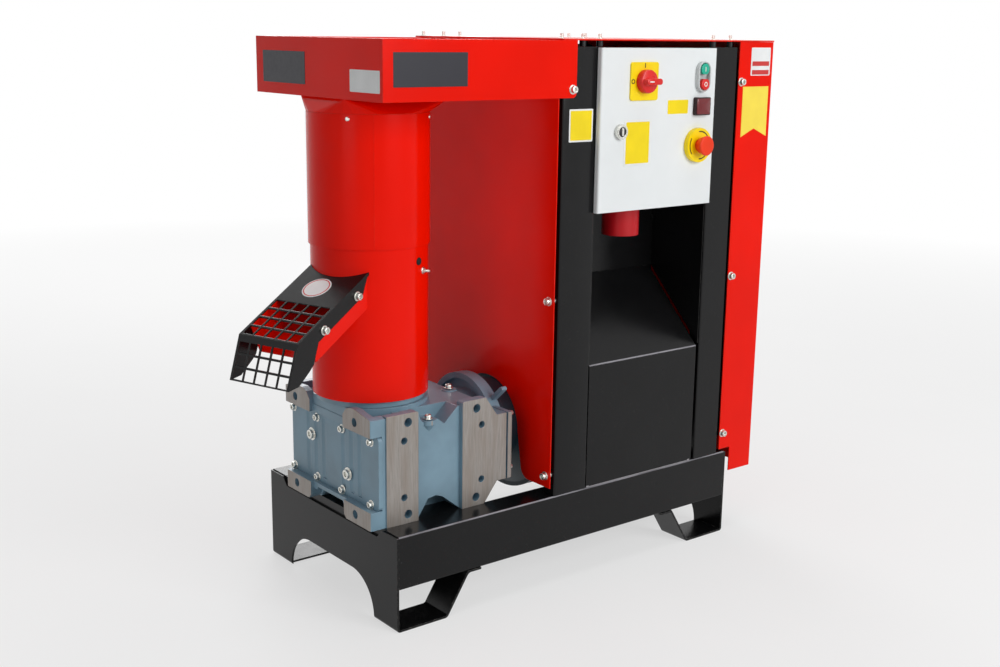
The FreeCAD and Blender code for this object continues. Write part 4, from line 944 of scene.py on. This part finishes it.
class MILL_OT_gearbox_screws(bpy.types.Operator):
    """Socket screws of the gearbox end cover, its oil plugs, and the nuts of the motor flange"""
    bl_idname = "pellet_mill.gearbox_screws"
    bl_label = "Gearbox screws"

    def execute(self, context):
        sizes = context.scene.mill_fasteners
        low, high = reach("gearbox_end_cover")
        columns = (74.0, 171.0, 260.0, 346.0)
        rim = [(low[0], y, z) for y in columns for z in (low[2] + 7.5, high[2] - 13)]
        row_of("end_cover_screws", socket_screw(sizes.gearbox_head * 1000, 6.0, 8.6), LEFT, rim)
        plug = socket_screw(sizes.plug * 1000, 6.0, 12.5)
        row_of("end_cover_plugs", plug, LEFT, [(low[0], 280, 300.5), (low[0], 152.4, 256.7)])

        oil_plug = socket_screw(6.5, 6.0, 9.0)
        row_of("gearbox_oil_plugs", oil_plug, UP, [(109, 63, 364), (222, 156, 382)])

        nut, face = hex_screw(8.0, 4.5, 5.4, 0.9), 293.5
        places = [(face, y, z) for y in (57.0, high[1] - 3) for z in (344, 238)]
        row_of("flange_nuts", nut, RIGHT, places)
        return {"FINISHED"}


class MILL_OT_plates(bpy.types.Operator):
    """Blank plates on the hopper, post, right cover and control box door"""
    bl_idname = "pellet_mill.plates"
    bl_label = "Blank plates"

    def execute(self, context):
        values = context.scene.mill_plates
        thick, corner = values.thickness * 1000, values.corner * 1000
        owners = {
            "hopper_tray": ("machine", "red_powder_coat"),
            "right_cover": ("machine", "red_powder_coat"),
            "front_post_left": ("machine", "black_powder_coat"),
            "control_box_door": ("control_door", "light_grey_enamel"),
        }

        def stick(name, node, outline, across, height, finish, lifted=False, normal=FRONT):
            """Across is x on a front face and y on a left one."""
            low = reach(node)[0]
            where = (across, low[1], height) if normal == FRONT else (low[0], across, height)
            plate = moved(thin_plate(outline, thick), 0.7 * thick if lifted else 0.0)
            row_of(name, [plate], normal, [where], (*owners[node], finish))

        box = rounded_outline
        stick("hopper_end_plate", "hopper_tray", box(152, 56, 1.0), 321, 978, "black_film", normal=LEFT)
        tag = box(91.5, 36.5, corner)
        stick("hopper_end_tag", "hopper_tray", tag, 51.7, 962.2, "white_film", normal=LEFT)
        stick("hopper_front_plate", "hopper_tray", box(149, 56, 1.0), 69.5, 982, "black_film")
        stick("post_tag", "front_post_left", box(57, 59, corner), 401.5, 880.5, "white_film")
        stick("post_tag_face", "front_post_left", box(51, 53, 1.0), 401.5, 880.5, "yellow_film", True)
        stick("cover_tag", "right_cover", box(57, 55, corner), 876.5, 992.5, "white_film")
        stick("cover_tag_upper_band", "right_cover", box(50, 9, 0.8), 876.5, 988.5, "red_film", True)
        stick("cover_tag_lower_band", "right_cover", box(50, 9, 0.8), 876.5, 971.5, "red_film", True)
        ribbon = ribbon_outline(76, 100, 16.5)
        stick("cover_ribbon", "right_cover", ribbon, 866.0, 893.5, "pale_yellow_film")
        stick("door_label", "control_box_door", box(54.5, 26, corner), 636.2, 909, "yellow_film")
        stick("door_plate", "control_box_door", box(69, 86, corner), 532.5, 845.3, "white_film")
        inner = box(60, 77, corner)
        stick("door_plate_face", "control_box_door", inner, 532.5, 845.3, "yellow_film", True)
        return {"FINISHED"}


class MILL_OT_foot_line(bpy.types.Operator):
    """Painted highlight: a pale line at the foot of the lower panel for the glint on the front beam's top
    bend, with a small pale blob at each end
    """
    bl_idname = "pellet_mill.foot_line"
    bl_label = "Foot line"

    def execute(self, context):
        low = reach("lower_panel")[0]
        # Painted highlight: pale grey finish for the foot line and its end blobs
        painted_highlight_kind = ("machine", "black_powder_coat", "dull_print")
        line = thin_plate(rounded_outline(282.0, 1.8, 0.8), 0.3, 0.1)
        row_of("panel_foot_line", [line], FRONT, [(584.0, low[1], low[2] + 1.0)], painted_highlight_kind)
        blob = thin_plate(rounded_outline(7.0, 3.6, 1.7), 0.35, 0.2)
        places = [(x, low[1], low[2] + 2.0) for x in (444.0, 724.0)]
        row_of("panel_foot_ends", [blob], FRONT, places, painted_highlight_kind)
        return {"FINISHED"}


def floor_finish(name, near_white):
    """Pale floor. Where a camera, glossy or clear ray meets it, a share of plain white is mixed
    in, which grows from near_white by the object to 1 at five metres, so that no horizon shows."""
    f = Finish(name, Roughness=0.7, Specular_IOR_Level=0.1)
    f.surface("Base Color", f.blend(f.ramp(f.noise(2.0), 0.3, 0.7), (0.70,) * 3, (0.73,) * 3))
    distance = f.put("ShaderNodeVectorMath", operation="LENGTH")
    f.link(f.coord, distance.inputs[0])
    share = f.ramp(distance.outputs["Value"], 0.8, 5.0, near_white, 1.0)
    white = f.put("ShaderNodeEmission", Color=(1, 1, 1, 1), Strength=1.0)
    surface = f.mixed(f.times(share, f.seen()), f.shader.outputs[0], white.outputs[0])
    f.link(surface, f.out.inputs[0])
    return f.material


def studio_world(daylight):
    """A white world: daylight as it lights things, plain white to camera, glossy and clear rays."""
    world = bpy.data.worlds.new("studio")
    world.use_nodes = True
    w = Nodes(world.node_tree)
    lit, plain = (
        w.put("ShaderNodeBackground", Color=(1, 1, 1, 1), Strength=strength).outputs[0]
        for strength in (daylight, 1.0)
    )
    out = w.put("ShaderNodeOutputWorld")
    w.link(w.mixed(w.seen(), lit, plain), out.inputs["Surface"])
    return world


def stand_at(item, place, rows):
    """Sets an object at a place, with its right, up and back directions given as rows."""
    item.matrix_world = Matrix([(*rows[:, i], place[i]) for i in range(3)] + [(0, 0, 0, 1)])


def soft_lamp(name, place, aim, size, power):
    """A rectangular lamp at a place, in metres, turned to its aim and unseen by the camera."""
    data = bpy.data.lights.new(name, "AREA")
    data.shape = "RECTANGLE"
    data.size, data.size_y = size
    data.energy = power
    lamp = bpy.data.objects.new(name, data)
    lamp.visible_camera = False
    bpy.context.scene.collection.objects.link(lamp)
    stand_at(lamp, place, directions(np.array(place, float) - np.array(aim, float)))


class MILL_OT_stage(bpy.types.Operator):
    """Pale floor, soft studio lamps, world and the camera"""
    bl_idname = "pellet_mill.stage"
    bl_label = "Stage"

    def execute(self, context):
        scene = context.scene
        values = scene.mill_stage
        half, lines = 40.0, 9
        x, y = np.meshgrid(np.linspace(-half, half, lines), np.linspace(-half, half, lines))
        points = np.stack([x, y, 0 * x], -1).reshape(-1, 3)
        c = np.arange(lines - 1)
        a = (c[:, None] * lines + c[None, :]).ravel()
        mesh = bpy.data.meshes.new("floor")
        squares = np.stack([a, a + 1, a + lines + 1, a + lines], -1)
        mesh.from_pydata(points.tolist(), [], squares.tolist())
        mesh.materials.append(floor_finish("floor_paint", values.floor_white))
        floor = bpy.data.objects.new("floor", mesh)
        scene.collection.objects.link(floor)

        scene.world = studio_world(values.daylight)
        middle = (0.0, 0.0, 0.5)
        for name, place, size, power in (
            ("key_lamp", (0.8, -3.6, 2.0), (2.0, 2.4), 88),
            ("side_lamp", (-3.6, -1.4, 1.6), (1.6, 2.4), 15),
            ("top_lamp", (0.2, 0.1, 3.6), (2.6, 2.6), 50),
            ("rear_lamp", (1.4, 3.4, 2.2), (2.2, 2.2), 55),
        ):
            soft_lamp(name, place, middle, size, power * values.lamps)

        azimuth, elevation, roll = math.radians(-38.18), math.radians(13.08), math.radians(0.80)
        back = (math.sin(azimuth) * math.cos(elevation), -math.cos(azimuth) * math.cos(elevation),
                math.sin(elevation))
        rows = directions(back)
        c, s = math.cos(roll), math.sin(roll)
        rows = np.stack([c * rows[0] + s * rows[1], c * rows[1] - s * rows[0], rows[2]])
        data = bpy.data.cameras.new("camera")
        data.lens = 46.8
        data.sensor_width = 36.0
        camera = bpy.data.objects.new("camera", data)
        scene.collection.objects.link(camera)
        stand_at(camera, spot(-1178.4, -1780.9, 1044.4), rows)
        scene.camera = camera
        scene.view_settings.view_transform = "Standard"
        return {"FINISHED"}


GROUPS = {
    "mill_colours": MillColours,
    "mill_fasteners": MillFasteners,
    "mill_plates": MillPlates,
    "mill_stage": MillStage,
}
STEPS = (
    MILL_OT_side_sheets, MILL_OT_frame, MILL_OT_covers, MILL_OT_drive, MILL_OT_controls,
    MILL_OT_control_marks, MILL_OT_cover_screws, MILL_OT_top_studs, MILL_OT_drum_screws,
    MILL_OT_guard_screws, MILL_OT_gearbox_screws, MILL_OT_plates, MILL_OT_foot_line, MILL_OT_stage,
)


class MILL_PT_panel(bpy.types.Panel):
    bl_label = "Pellet mill"
    bl_idname = "MILL_PT_panel"
    bl_space_type = "VIEW_3D"
    bl_region_type = "UI"
    bl_category = "Pellet mill"

    def draw(self, context):
        for name, group in GROUPS.items():
            box = self.layout.box()
            for key in group.__annotations__:
                box.prop(getattr(context.scene, name), key)
        for step in STEPS:
            self.layout.operator(step.bl_idname)


CLASSES = (*GROUPS.values(), *STEPS, MILL_PT_panel)


def register():
    for item in CLASSES:
        bpy.utils.register_class(item)
    for name, group in GROUPS.items():
        setattr(bpy.types.Scene, name, bpy.props.PointerProperty(type=group))


def unregister():
    for name in GROUPS:
        delattr(bpy.types.Scene, name)
    for item in reversed(CLASSES):
        bpy.utils.unregister_class(item)


def main():
    register()
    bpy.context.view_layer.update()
    for step in STEPS:
        family, name = step.bl_idname.split(".")
        getattr(getattr(bpy.ops, family), name)()


if __name__ == "__main__":
    main()
